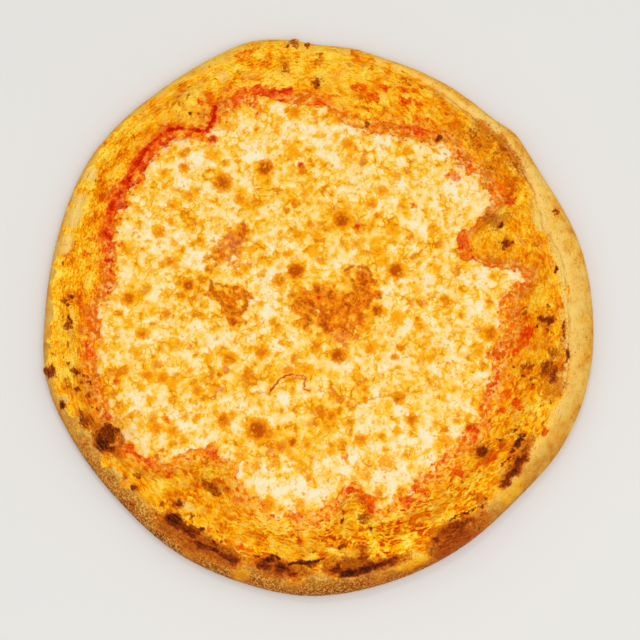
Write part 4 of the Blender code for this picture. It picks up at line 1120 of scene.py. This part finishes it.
# Where thick curd shows milky white and where oil lies over it, as (x, y, radius, strength) readings.
MILKY = read_off(CHEESE_TOP, (
    (280, 113, 7, 1), (286, 124, 6, 1), (306, 128, 9, 0.9), (279, 138, 5, 0.9), (243, 126, 6, 0.9),
    (238, 135, 5, 0.8), (222, 108, 6, 0.5), (222, 132, 6, 0.6), (196, 158, 9, 1), (188, 166, 5, 0.9),
    (180, 182, 9, 1), (208, 188, 8, 1), (218, 193, 6, 0.9), (244, 180, 6, 0.8), (205, 205, 5, 0.7),
    (234, 210, 5, 0.5), (148, 210, 5, 0.9), (150, 228, 8, 1), (137, 233, 4, 0.8), (163, 222, 7, 0.6),
    (176, 236, 8, 0.6), (195, 252, 8, 1), (182, 265, 5, 0.8), (195, 268, 8, 0.7), (166, 280, 9, 1),
    (240, 280, 6, 0.8), (262, 285, 10, 0.9), (270, 275, 5, 1), (275, 297, 12, 1), (250, 297, 8, 0.9),
    (296, 248, 5, 1), (274, 247, 6, 0.9), (266, 209, 5, 0.6), (288, 218, 4, 0.6), (216, 238, 6, 0.6),
    (225, 249, 5, 0.6), (232, 262, 6, 0.6), (250, 270, 5, 0.6), (165, 148, 5, 0.6), (165, 165, 6, 0.5),
    (175, 140, 8, 0.5), (250, 155, 8, 0.5), (262, 158, 5, 0.7), (160, 205, 7, 0.6), (205, 240, 6, 0.5),
    (120, 225, 6, 0.4), (155, 252, 6, 0.5), (120, 275, 6, 0.5), (322, 110, 6, 0.7), (330, 128, 9, 0.95),
    (350, 132, 9, 1), (316, 146, 7, 0.9), (330, 160, 7, 0.9), (375, 148, 9, 1), (386, 140, 8, 0.9),
    (398, 165, 6, 0.8), (420, 148, 9, 1), (432, 163, 6, 0.9), (445, 155, 7, 0.9), (412, 170, 6, 0.8),
    (340, 190, 8, 1), (352, 196, 7, 1), (398, 182, 6, 0.9), (424, 183, 5, 0.8), (450, 185, 9, 0.9),
    (470, 185, 9, 0.9), (480, 195, 7, 0.7), (497, 192, 5, 0.6), (460, 203, 7, 0.8), (390, 205, 6, 0.7),
    (385, 215, 4, 0.7), (414, 225, 7, 1), (440, 222, 5, 0.9), (378, 235, 4, 0.8), (395, 248, 4, 0.8),
    (412, 248, 5, 0.8), (352, 250, 5, 0.6), (335, 262, 5, 0.6), (365, 270, 6, 0.6), (425, 262, 6, 0.8),
    (425, 278, 7, 0.7), (400, 285, 8, 0.7), (382, 290, 5, 0.8), (465, 280, 5, 0.8), (487, 270, 10, 1),
    (484, 285, 8, 1), (515, 272, 9, 0.9), (500, 290, 7, 0.8), (470, 300, 7, 0.9), (445, 290, 7, 0.6),
    (370, 180, 8, 0.6), (430, 205, 6, 0.5), (320, 180, 6, 0.5), (270, 310, 8, 1), (265, 325, 6, 1),
    (105, 333, 6, 0.9), (120, 350, 7, 0.6), (160, 315, 7, 0.5), (185, 310, 6, 0.6), (197, 325, 5, 0.9),
    (207, 318, 6, 0.6), (218, 342, 8, 0.9), (210, 350, 5, 0.9), (185, 337, 5, 0.6), (250, 340, 6, 0.7),
    (272, 345, 5, 1), (290, 337, 6, 0.8), (262, 365, 6, 0.7), (133, 398, 7, 1), (152, 410, 6, 1),
    (172, 414, 7, 0.9), (165, 398, 8, 0.6), (187, 412, 8, 0.6), (182, 427, 5, 0.8), (206, 437, 8, 1),
    (178, 452, 8, 0.7), (192, 450, 7, 0.8), (168, 460, 5, 0.6), (230, 462, 6, 1), (240, 470, 6, 1),
    (150, 455, 5, 0.6), (232, 425, 8, 0.6), (240, 410, 7, 0.6), (273, 422, 6, 0.8), (262, 390, 7, 0.6),
    (283, 398, 7, 0.7), (230, 400, 6, 0.5), (262, 482, 14, 0.9), (280, 490, 10, 1), (285, 468, 8, 0.7),
    (298, 485, 8, 0.9), (290, 505, 9, 0.9), (150, 340, 7, 0.4), (400, 310, 6, 0.9), (348, 330, 6, 0.6),
    (405, 325, 6, 0.8), (380, 330, 5, 0.7), (450, 345, 6, 0.8), (455, 375, 5, 0.8), (480, 310, 8, 0.9),
    (500, 322, 6, 1), (515, 338, 5, 0.9), (340, 365, 7, 0.6), (365, 360, 8, 0.7), (385, 370, 6, 0.9),
    (395, 360, 5, 0.8), (430, 370, 5, 0.6), (470, 365, 6, 0.7), (450, 360, 6, 0.6), (480, 375, 7, 0.6),
    (378, 390, 5, 0.7), (320, 390, 6, 0.6), (350, 408, 7, 0.9), (400, 410, 6, 0.8), (450, 405, 8, 0.7),
    (466, 405, 8, 0.9), (455, 425, 8, 0.9), (425, 435, 10, 1), (465, 435, 6, 0.6), (405, 440, 6, 0.9),
    (390, 430, 5, 0.8), (372, 425, 8, 0.6), (370, 450, 8, 0.9), (350, 455, 9, 0.9), (345, 470, 8, 1),
    (380, 475, 10, 1), (400, 470, 7, 0.9), (390, 490, 8, 0.8), (318, 490, 9, 1), (312, 475, 6, 0.8),
    (325, 465, 6, 0.6), (427, 460, 7, 1), (437, 468, 6, 0.9), (412, 490, 6, 0.8), (380, 508, 5, 0.7),
    (420, 400, 7, 0.4), (430, 320, 7, 0.5), (445, 320, 6, 0.4), (500, 370, 6, 0.4),
))
OILY = read_off(CHEESE_TOP, (
    (345, 215, 16, 0.9), (322, 218, 8, 0.8), (357, 230, 8, 0.7), (268, 180, 12, 0.5),
    (250, 205, 8, 0.8), (295, 200, 12, 0.5), (240, 235, 10, 0.6), (262, 170, 8, 0.6),
    (305, 300, 10, 0.8), (340, 295, 20, 0.9), (365, 305, 10, 0.8), (322, 330, 12, 0.7),
    (375, 255, 9, 0.8), (400, 262, 9, 0.7), (395, 230, 8, 0.7), (365, 290, 12, 0.8),
    (210, 275, 14, 0.7), (225, 300, 12, 0.6), (190, 295, 14, 0.6), (215, 320, 10, 0.6),
    (235, 320, 8, 0.6), (130, 295, 12, 0.5), (120, 255, 10, 0.5), (150, 275, 6, 0.4),
    (115, 375, 12, 0.7), (110, 395, 8, 0.5), (270, 378, 14, 0.8), (245, 378, 10, 0.6),
    (310, 372, 10, 0.8), (335, 375, 8, 0.6), (215, 385, 12, 0.6), (190, 385, 8, 0.7),
    (210, 405, 7, 0.6), (225, 420, 6, 0.5), (300, 425, 12, 0.6), (300, 443, 14, 0.8),
    (325, 430, 12, 0.8), (345, 425, 8, 0.5), (320, 410, 10, 0.6), (355, 390, 12, 0.7),
    (380, 415, 6, 0.3), (270, 445, 9, 0.6), (285, 435, 8, 0.5), (410, 385, 10, 0.6), (420, 405, 5, 0.4),
    (480, 400, 7, 0.5), (490, 335, 7, 0.8), (470, 255, 10, 0.6), (440, 240, 8, 0.5), (430, 210, 6, 0.3),
    (315, 245, 10, 0.5), (310, 225, 8, 0.5), (345, 240, 7, 0.5), (480, 230, 10, 0.5),
    (455, 270, 6, 0.4), (210, 215, 6, 0.3), (260, 225, 10, 0.4), (305, 180, 7, 0.4), (170, 385, 9, 0.4),
    (150, 370, 8, 0.4), (170, 430, 7, 0.5), (140, 330, 6, 0.3), (250, 450, 7, 0.5), (330, 440, 6, 0.6),
    (360, 335, 10, 0.5), (345, 345, 8, 0.4), (440, 400, 5, 0.4), (300, 265, 8, 0.6), (295, 280, 8, 0.5),
    (285, 260, 6, 0.5),
))

# Where the oil stands wet and glints, and where painted glints gather most, as (x, y, radius, strength) in
# mm.
WET = (
    (-50, 38, 6, 1), (-48, 27, 5, 1), (-56, 24, 4, 0.7), (12, -18, 5, 0.8), (-84, 30, 5, 0.5),
    (-33, 90, 6, 0.5), (-70, 62, 5, 0.4), (30, 70, 6, 0.4), (60, 10, 6, 0.4), (-20, -80, 6, 0.5),
    (20, -95, 5, 0.5), (-75, -60, 5, 0.4), (75, 62, 5, 0.6), (-90, 60, 5, 0.6), (55, -70, 5, 0.4),
)

# Where the sheet is toasted through in ragged patches, as marks.
TOASTED_CHEESE = (
    (8, -5, 9, 7, 0.9), (19, 3, 6, 8, 0.95), (2, 2, 5, 5, 0.8), (22, -8, 5, 5, 0.8), (14, -14, 6, 4, 0.7),
    (-9, 2, 7, 6, 0.85), (-8, -6, 5, 4, 0.8), (3, 9, 6, 5, 0.7), (26, 14, 8, 4, 0.9), (29, 8, 4, 5, 0.8),
    (-50, 36, 8, 7, 0.65), (-45, 42, 6, 5, 0.6), (-58, 30, 6, 5, 0.55),
    (-57, 8, 3, 7, 0.85), (-50, 2, 6, 3, 0.9), (-43, 8, 3, 7, 0.85), (-47, -5, 5, 4, 0.8),
)

# The grid that the sheet is trimmed from, how far inside the ragged edge it is trimmed, how wide its edge
# is rounded, how high that edge and the hidden foot lie, and the height or depth of each kind of relief.
GRID_WIDTH = 256 * MM
GRID_CELLS = 350
CHEESE_MIDDLE = (-4.84 * MM, 4.28 * MM)
TRIMMED = 0.6 * MM
EDGE_ROUND = 4.5 * MM
CHEESE_SINK = 5.1 * MM
CHEESE_FOOT = 4.8 * MM
CURD = 0.22 * MM
PUDDLE = 0.3 * MM
BLISTER = 0.3 * MM
SOFT_SPOT = 0.12 * MM
WAVES = 0.35 * MM
FOLD = 0.8 * MM
VEIN = 0.15 * MM
CURL = 0.3 * MM
CRACK = 0.4 * MM

# The small soft spots all over the sheet lie on a loose grid: how far it goes, its spacing, how far each
# spot may be off it, and the smallest and largest radius, in mm.
SPOT_FIELD = 130
SPOT_SPACING = 6.0
SPOT_SHIFT = 2.6
SPOT_RADII = (1.3, 2.9)


def dabs(places, spots, width, fade):
    """How strongly round spots (x, y, radius, strength) in mm cover each point, by how each fades."""
    xy = places[:, :2] / MM
    cover = np.zeros(len(xy))
    for x, y, radius, strength in spots:
        near = np.flatnonzero((np.abs(xy - (x, y)) < width * radius).all(axis=1))
        far = np.hypot(*(xy[near] - (x, y)).T) / radius
        cover[near] = np.maximum(cover[near], strength * fade(far))
    return cover


def round_spots(places, spots):
    """Spots that are strongest in their middle and end at nearly twice their radius."""
    return dabs(places, spots, 2, lambda far: ease(0.55 * (2 - far)))


def glows(places, spots):
    """Soft patches without an edge."""
    return dabs(places, spots, 2.4, lambda far: np.exp(-0.8 * far**2))


def inside_cheese(places):
    """How far inside the sheet's ragged edge each point lies, in metres."""
    flat = places * (1, 1, 0)
    torn = wander(wander(wander(flat, 11 * MM, 2.6 * MM), 4 * MM, 1.2 * MM), 1.7 * MM, 0.6 * MM)
    turns, radii = from_middle(torn)
    return cheese_reach(turns) - radii - 0.3 * MM


bpy.ops.object.select_all(action="DESELECT")
bpy.ops.mesh.primitive_grid_add(
    x_subdivisions=GRID_CELLS, y_subdivisions=GRID_CELLS, size=GRID_WIDTH, location=(*CHEESE_MIDDLE, 0)
)
cheese = bpy.context.object
cheese.name = cheese.data.name = "melted_cheese"
bpy.ops.object.transform_apply(location=True, rotation=False, scale=False)

# The height of the solid slab under each point, smoothed over a few cells.
places = points_of(cheese)
turns, radii = from_middle(places)
pull = np.minimum(1, (cheese_reach(turns) - 1.2 * MM) / np.maximum(radii, MM))
inside = RIM_MIDDLE + (places[:, :2] - RIM_MIDDLE) * pull[:, None]
heights = heights_under(top_of(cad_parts["cheese"].data), inside)
cells = np.round((places[:, :2] - places[:, :2].min(axis=0)) * GRID_CELLS / GRID_WIDTH).astype(int)
order = np.lexsort((cells[:, 0], cells[:, 1]))
heights[order] = evened(heights[order].reshape(GRID_CELLS + 1, GRID_CELLS + 1), 10).ravel()

# The relief: flecks of curd, puddles of oil, blisters, folds and a rounded edge.
seeds = np.random.default_rng(12)
steps = np.arange(-SPOT_FIELD, SPOT_FIELD, SPOT_SPACING)
spot_grid = np.array([(x, y) for x in steps for y in steps])
spot_grid += seeds.uniform(-SPOT_SHIFT, SPOT_SHIFT, spot_grid.shape)
spot_sizes = seeds.uniform(*SPOT_RADII, len(spot_grid))
spot_depths = seeds.uniform(0.1, 1, len(spot_grid)) ** 1.4
soft_spots = [
    (x, y, size, depth) for (x, y), size, depth in zip(spot_grid, spot_sizes, spot_depths) if depth > 0.12
]
loose = wander(places, 2.2 * MM, 0.85 * MM)
soft = round_spots(loose, soft_spots)
blister = round_spots(loose, BLISTER_SPOTS)
clots = 0.5 + 0.5 * lumps(places, 3.2 * MM, 3, 8.0)
veins = along_lines(loose, VEINS)
curls = along_lines(loose, CURLS)
folds = along_lines(loose, FOLDS)
crack = along_lines(wander(places, 1.6 * MM, 0.5 * MM), RED_CRACKS)

heights += CURD * (clots - 0.5) * 2 + PUDDLE * (glows(loose, MILKY) - glows(loose, OILY)) * 0.6
heights += BLISTER * blister + SOFT_SPOT * soft
heights += WAVES * lumps(places, 9 * MM, 1, 13.0) + FOLD * folds - VEIN * veins
heights += CURL * curls - CRACK * crack
edge_gap = inside_cheese(places)
sunk = 1 - ease(edge_gap / EDGE_ROUND + 0.25 * lumps(places, 2.2 * MM, 2, 19.0) + 0.1)
heights += (CHEESE_SINK - heights) * sunk
places[:, 2] = heights
move_points(cheese, places)

oil = 0.29 + 0.38 * glows(loose, OILY) - 0.42 * glows(loose, MILKY) + 0.12 * lumps(places, 7 * MM, 2, 4.0)
oil += 0.17 * lumps(places, 2.8 * MM, 2, 8.0) + 0.62 * soft
oil += 0.3 * (1 - ease(edge_gap / (6 * MM))) * ease(0.6 + lumps(places, 3 * MM, 2, 15.0))
keep(cheese, "oil", oil)
torn = 1 - ease(edge_gap / (6 * MM) - 0.6 * lumps(places, 3.2 * MM, 3, 17.0) + 0.05)
keep(cheese, "torn", torn)
coat(cheese, redder=0.7)
keep(cheese, "brown", blister)
keep(cheese, "curl", np.maximum(curls, 0.5 * veins))
keep(cheese, "crack", crack)
red = round_spots(loose, RED_FLECKS)
red = np.maximum(red, 0.5 * (1 - ease(edge_gap / (5 * MM))) * ease(lumps(places, 4 * MM, 2, 15.0) + 0.3))
keep(cheese, "tomato", red)
keep(cheese, "milk", folds)
keep(cheese, "wet", glows(loose, WET))
keep(cheese, "toasted", marks(wander(places, 5 * MM, 2.2 * MM), TOASTED_CHEESE))

# The grid is trimmed to the ragged edge, without corners where it hangs together by a point.
trim = bmesh.new()
trim.from_mesh(cheese.data)
trim.verts.ensure_lookup_table()
outside = [corner for corner, gap in zip(trim.verts, edge_gap) if gap < TRIMMED]
bmesh.ops.delete(trim, geom=outside, context="VERTS")
while pinched := [
    corner
    for corner in trim.verts
    if not corner.link_faces or sum(edge.is_boundary for edge in corner.link_edges) > 2
]:
    bmesh.ops.delete(trim, geom=pinched, context="VERTS")

# Scraps that are cut off from the sheet are dropped.
front = [min(trim.verts, key=lambda corner: corner.co.xy.length)]
whole = set(front)
while front:
    corner = front.pop()
    beside = [edge.other_vert(corner) for edge in corner.link_edges]
    front += [other for other in beside if other not in whole]
    whole.update(beside)
bmesh.ops.delete(trim, geom=[corner for corner in trim.verts if corner not in whole], context="VERTS")

# Its stepped border is smoothed, walled down and closed below.
border = [corner for corner in trim.verts if corner.is_boundary]
bmesh.ops.smooth_vert(trim, verts=border, factor=0.6, use_axis_x=True, use_axis_y=True, use_axis_z=False)
bmesh.ops.contextual_create(trim, geom=wall_down(trim, CHEESE_FOOT))
bmesh.ops.recalc_face_normals(trim, faces=trim.faces)
trim.to_mesh(cheese.data)
trim.free()
pick(cheese)
bpy.ops.object.shade_smooth_by_angle(angle=math.radians(50))


def curd_net(tree, size, offset):
    """The seams between cells of curd: 0 on a seam, rising to about 0.5 inside a cell."""
    wobble = tree.nodes.new("ShaderNodeTexNoise")
    put(wobble.inputs["Vector"], place(tree))
    wobble.inputs["Scale"].default_value = 1 / (0.7 * size)
    wobble.inputs["Detail"].default_value = 3
    push = vector_sum(tree, "MULTIPLY_ADD", wobble.outputs["Color"], (0.9 * size,) * 3, place(tree))
    seams = tree.nodes.new("ShaderNodeTexVoronoi")
    seams.voronoi_dimensions = "4D"
    seams.feature = "DISTANCE_TO_EDGE"
    put(seams.inputs["Vector"], push.outputs[0])
    seams.inputs["W"].default_value = offset
    seams.inputs["Scale"].default_value = 1 / size
    return seams.outputs["Distance"]


melted_cheese, tree, shader = blank("melted_cheese")
grain = speckle(tree, 1.5 * MM, 1.0, 40.0)
cloud = speckle(tree, 3.8 * MM, 2.0, 41.0, 0.55)

# Thin lines where the curd cracked and the oil browned in it: a net in places, wandering lines in others.
seams = curd_net(tree, 5 * MM, 3.0)
netted = between(tree, speckle(tree, 11 * MM, 2.0, 43.0), 0.46, 0.56)
seam_line = figure(tree, "MULTIPLY", between(tree, seams, 0.0, 0.14, 1.0, 0.0), netted)
winding = figure(tree, "ABSOLUTE", figure(tree, "SUBTRACT", speckle(tree, 4.5 * MM, 2.0, 47.0, 0.5), 0.5))
wandering = between(tree, speckle(tree, 7 * MM, 2.0, 48.0), 0.46, 0.6, 0.0, 0.8)
fine_line = figure(tree, "MULTIPLY", between(tree, winding, 0.0, 0.055, 1.0, 0.0), wandering)
lines = figure(tree, "MAXIMUM", seam_line, fine_line)

oil = plus_grain(tree, kept(tree, "oil"), (cloud, 0.42), (grain, 0.16))
oil = figure(tree, "MULTIPLY_ADD", lines, 0.42, oil)
colour = shades(
    tree,
    oil,
    (0.0, 244, 230, 188),
    (0.2, 247, 222, 158),
    (0.38, 248, 210, 116),
    (0.54, 248, 196, 60),
    (0.74, 245, 172, 10),
    (1.0, 222, 120, 2),
)
blush = speckle(tree, 5 * MM, 4.0, 42.0, 0.6)
colour = stained(tree, colour, blush, (0.5, 0.72, 0.35, 248, 198, 144))
# Painted glints: tiny near-white flecks all over the cheese, more of them where the oil stands wet.
painted_glints = figure(tree, "MULTIPLY_ADD", kept(tree, "wet"), 0.1, speckle(tree, 1.2 * MM, 2.0, 46.0))
colour = stained(tree, colour, painted_glints, (0.665, 0.72, 0.8, 254, 246, 222))
colour = stained(
    tree,
    colour,
    plus_grain(tree, kept(tree, "brown"), (grain, 0.3), (cloud, 0.15)),
    (0.06, 0.28, 0.92, 248, 168, 8),
    (0.26, 0.5, 0.9, 230, 124, 4),
    (0.48, 0.8, 0.92, 180, 72, 2),
)
toasted = plus_grain(tree, kept(tree, "toasted"), (cloud, 0.7), (grain, 0.4))
colour = stained(tree, colour, toasted, (0.05, 0.4, 0.8, 249, 182, 30))
crisp_colour = shades(
    tree,
    plus_grain(tree, 0.5, (grain, 0.4), (speckle(tree, 4.5 * MM, 4.0, 44.0, 0.6), 1.2)),
    (0.05, 150, 46, 2),
    (0.3, 200, 80, 2),
    (0.52, 228, 112, 4),
    (0.74, 244, 152, 12),
    (0.98, 250, 198, 84),
)
colour = blend(tree, between(tree, toasted, 0.22, 0.62, 0.0, 0.94), colour, crisp_colour)
for value, *steps in (
    (
        plus_grain(tree, kept(tree, "curl"), (grain, 0.5), (cloud, 0.5)),
        (0.05, 0.45, 0.75, 242, 150, 14),
        (0.35, 0.85, 0.85, 186, 80, 4),
    ),
    (
        plus_grain(tree, kept(tree, "tomato"), (grain, 0.5)),
        (0.3, 0.65, 0.8, 240, 120, 10),
        (0.68, 0.95, 0.9, 204, 40, 6),
    ),
    (
        kept(tree, "crack"),
        (0.02, 0.3, 0.8, 246, 160, 60),
        (0.35, 0.8, 0.9, 170, 44, 12),
    ),
):
    colour = stained(tree, colour, value, *steps)
colour = blend(tree, figure(tree, "MULTIPLY", kept(tree, "milk"), 0.8), colour, rgb(252, 226, 150))
torn = plus_grain(tree, kept(tree, "torn"), (grain, 0.5))
colour = blend(tree, between(tree, torn, 0.35, 0.75), colour, oily_colour(tree))
put(shader.inputs["Base Color"], colour)
put(shader.inputs["Roughness"], between(tree, cloud, 0.35, 0.65, 0.42, 0.3))
shader.inputs["Specular IOR Level"].default_value = 0.07
shader.inputs["Specular Tint"].default_value = (1, 0.7, 0.25, 1)
put(shader.inputs["Coat Weight"], between(tree, kept(tree, "wet"), 0.1, 0.9, 0.0, 0.6))
shader.inputs["Coat Roughness"].default_value = 0.08
glints = relief(tree, speckle(tree, 1.3 * MM, 3.0, 45.0, 0.6), 1.2 * MM)
put(shader.inputs["Coat Normal"], glints)
put(shader.inputs["Normal"], relief(tree, cloud, 0.6 * MM, relief(tree, grain, 0.35 * MM)))
cheese.data.materials.append(melted_cheese)

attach(cheese, "root")
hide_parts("cheese")


# ---- The table, the light and the camera --------------------------------------------------------
# A plain pale table, a wide soft lamp above, to the front and right, with a small one behind that
# glints in the oil, and white light all round. The camera looks down at the angle of the photograph.

TABLE_WIDTH = 6
ROOM_LIGHT = 0.68

bpy.ops.object.select_all(action="DESELECT")
bpy.ops.mesh.primitive_plane_add(size=TABLE_WIDTH, location=(0, 0, 0))
table = bpy.context.object
table.name = "table"
pale, tree, shader = blank("pale_table")
shader.inputs["Base Color"].default_value = rgb(226, 224, 220)
shader.inputs["Roughness"].default_value = 0.8
table.data.materials.append(pale)

# What the camera looks at, and its lens and sensor in mm. Its steepness and distance are as above.
SIGHT = Vector((0.0007, -0.006, 0.005))
LENS = 110.5
SENSOR = 36

eye = SIGHT + DISTANCE * Vector((0, -math.cos(ELEVATION), math.sin(ELEVATION)))
bpy.ops.object.camera_add(location=eye, rotation=(math.pi / 2 - ELEVATION, 0, 0))
camera = bpy.context.object
camera.data.lens = LENS
camera.data.sensor_width = SENSOR
bpy.context.scene.camera = camera

# Each lamp's place, width in metres and power in watts.
LAMPS = (
    (Vector((0.16, -0.42, 1.55)), 0.9, 9.5),
    (Vector((-0.11, 0.43, 1.5)), 0.1, 1.5),
)
for lamp_place, lamp_size, lamp_power in LAMPS:
    bpy.ops.object.light_add(type="AREA", location=lamp_place)
    lamp = bpy.context.object
    lamp.data.size = lamp_size
    lamp.data.energy = lamp_power
    lamp.rotation_euler = (SIGHT - lamp_place).to_track_quat("-Z", "Y").to_euler()

sky = bpy.data.worlds.new("room")
sky.use_nodes = True
sky.node_tree.nodes["Background"].inputs["Color"].default_value = (1, 1, 1, 1)
sky.node_tree.nodes["Background"].inputs["Strength"].default_value = ROOM_LIGHT
bpy.context.scene.world = sky
bpy.context.scene.view_settings.view_transform = "Standard"
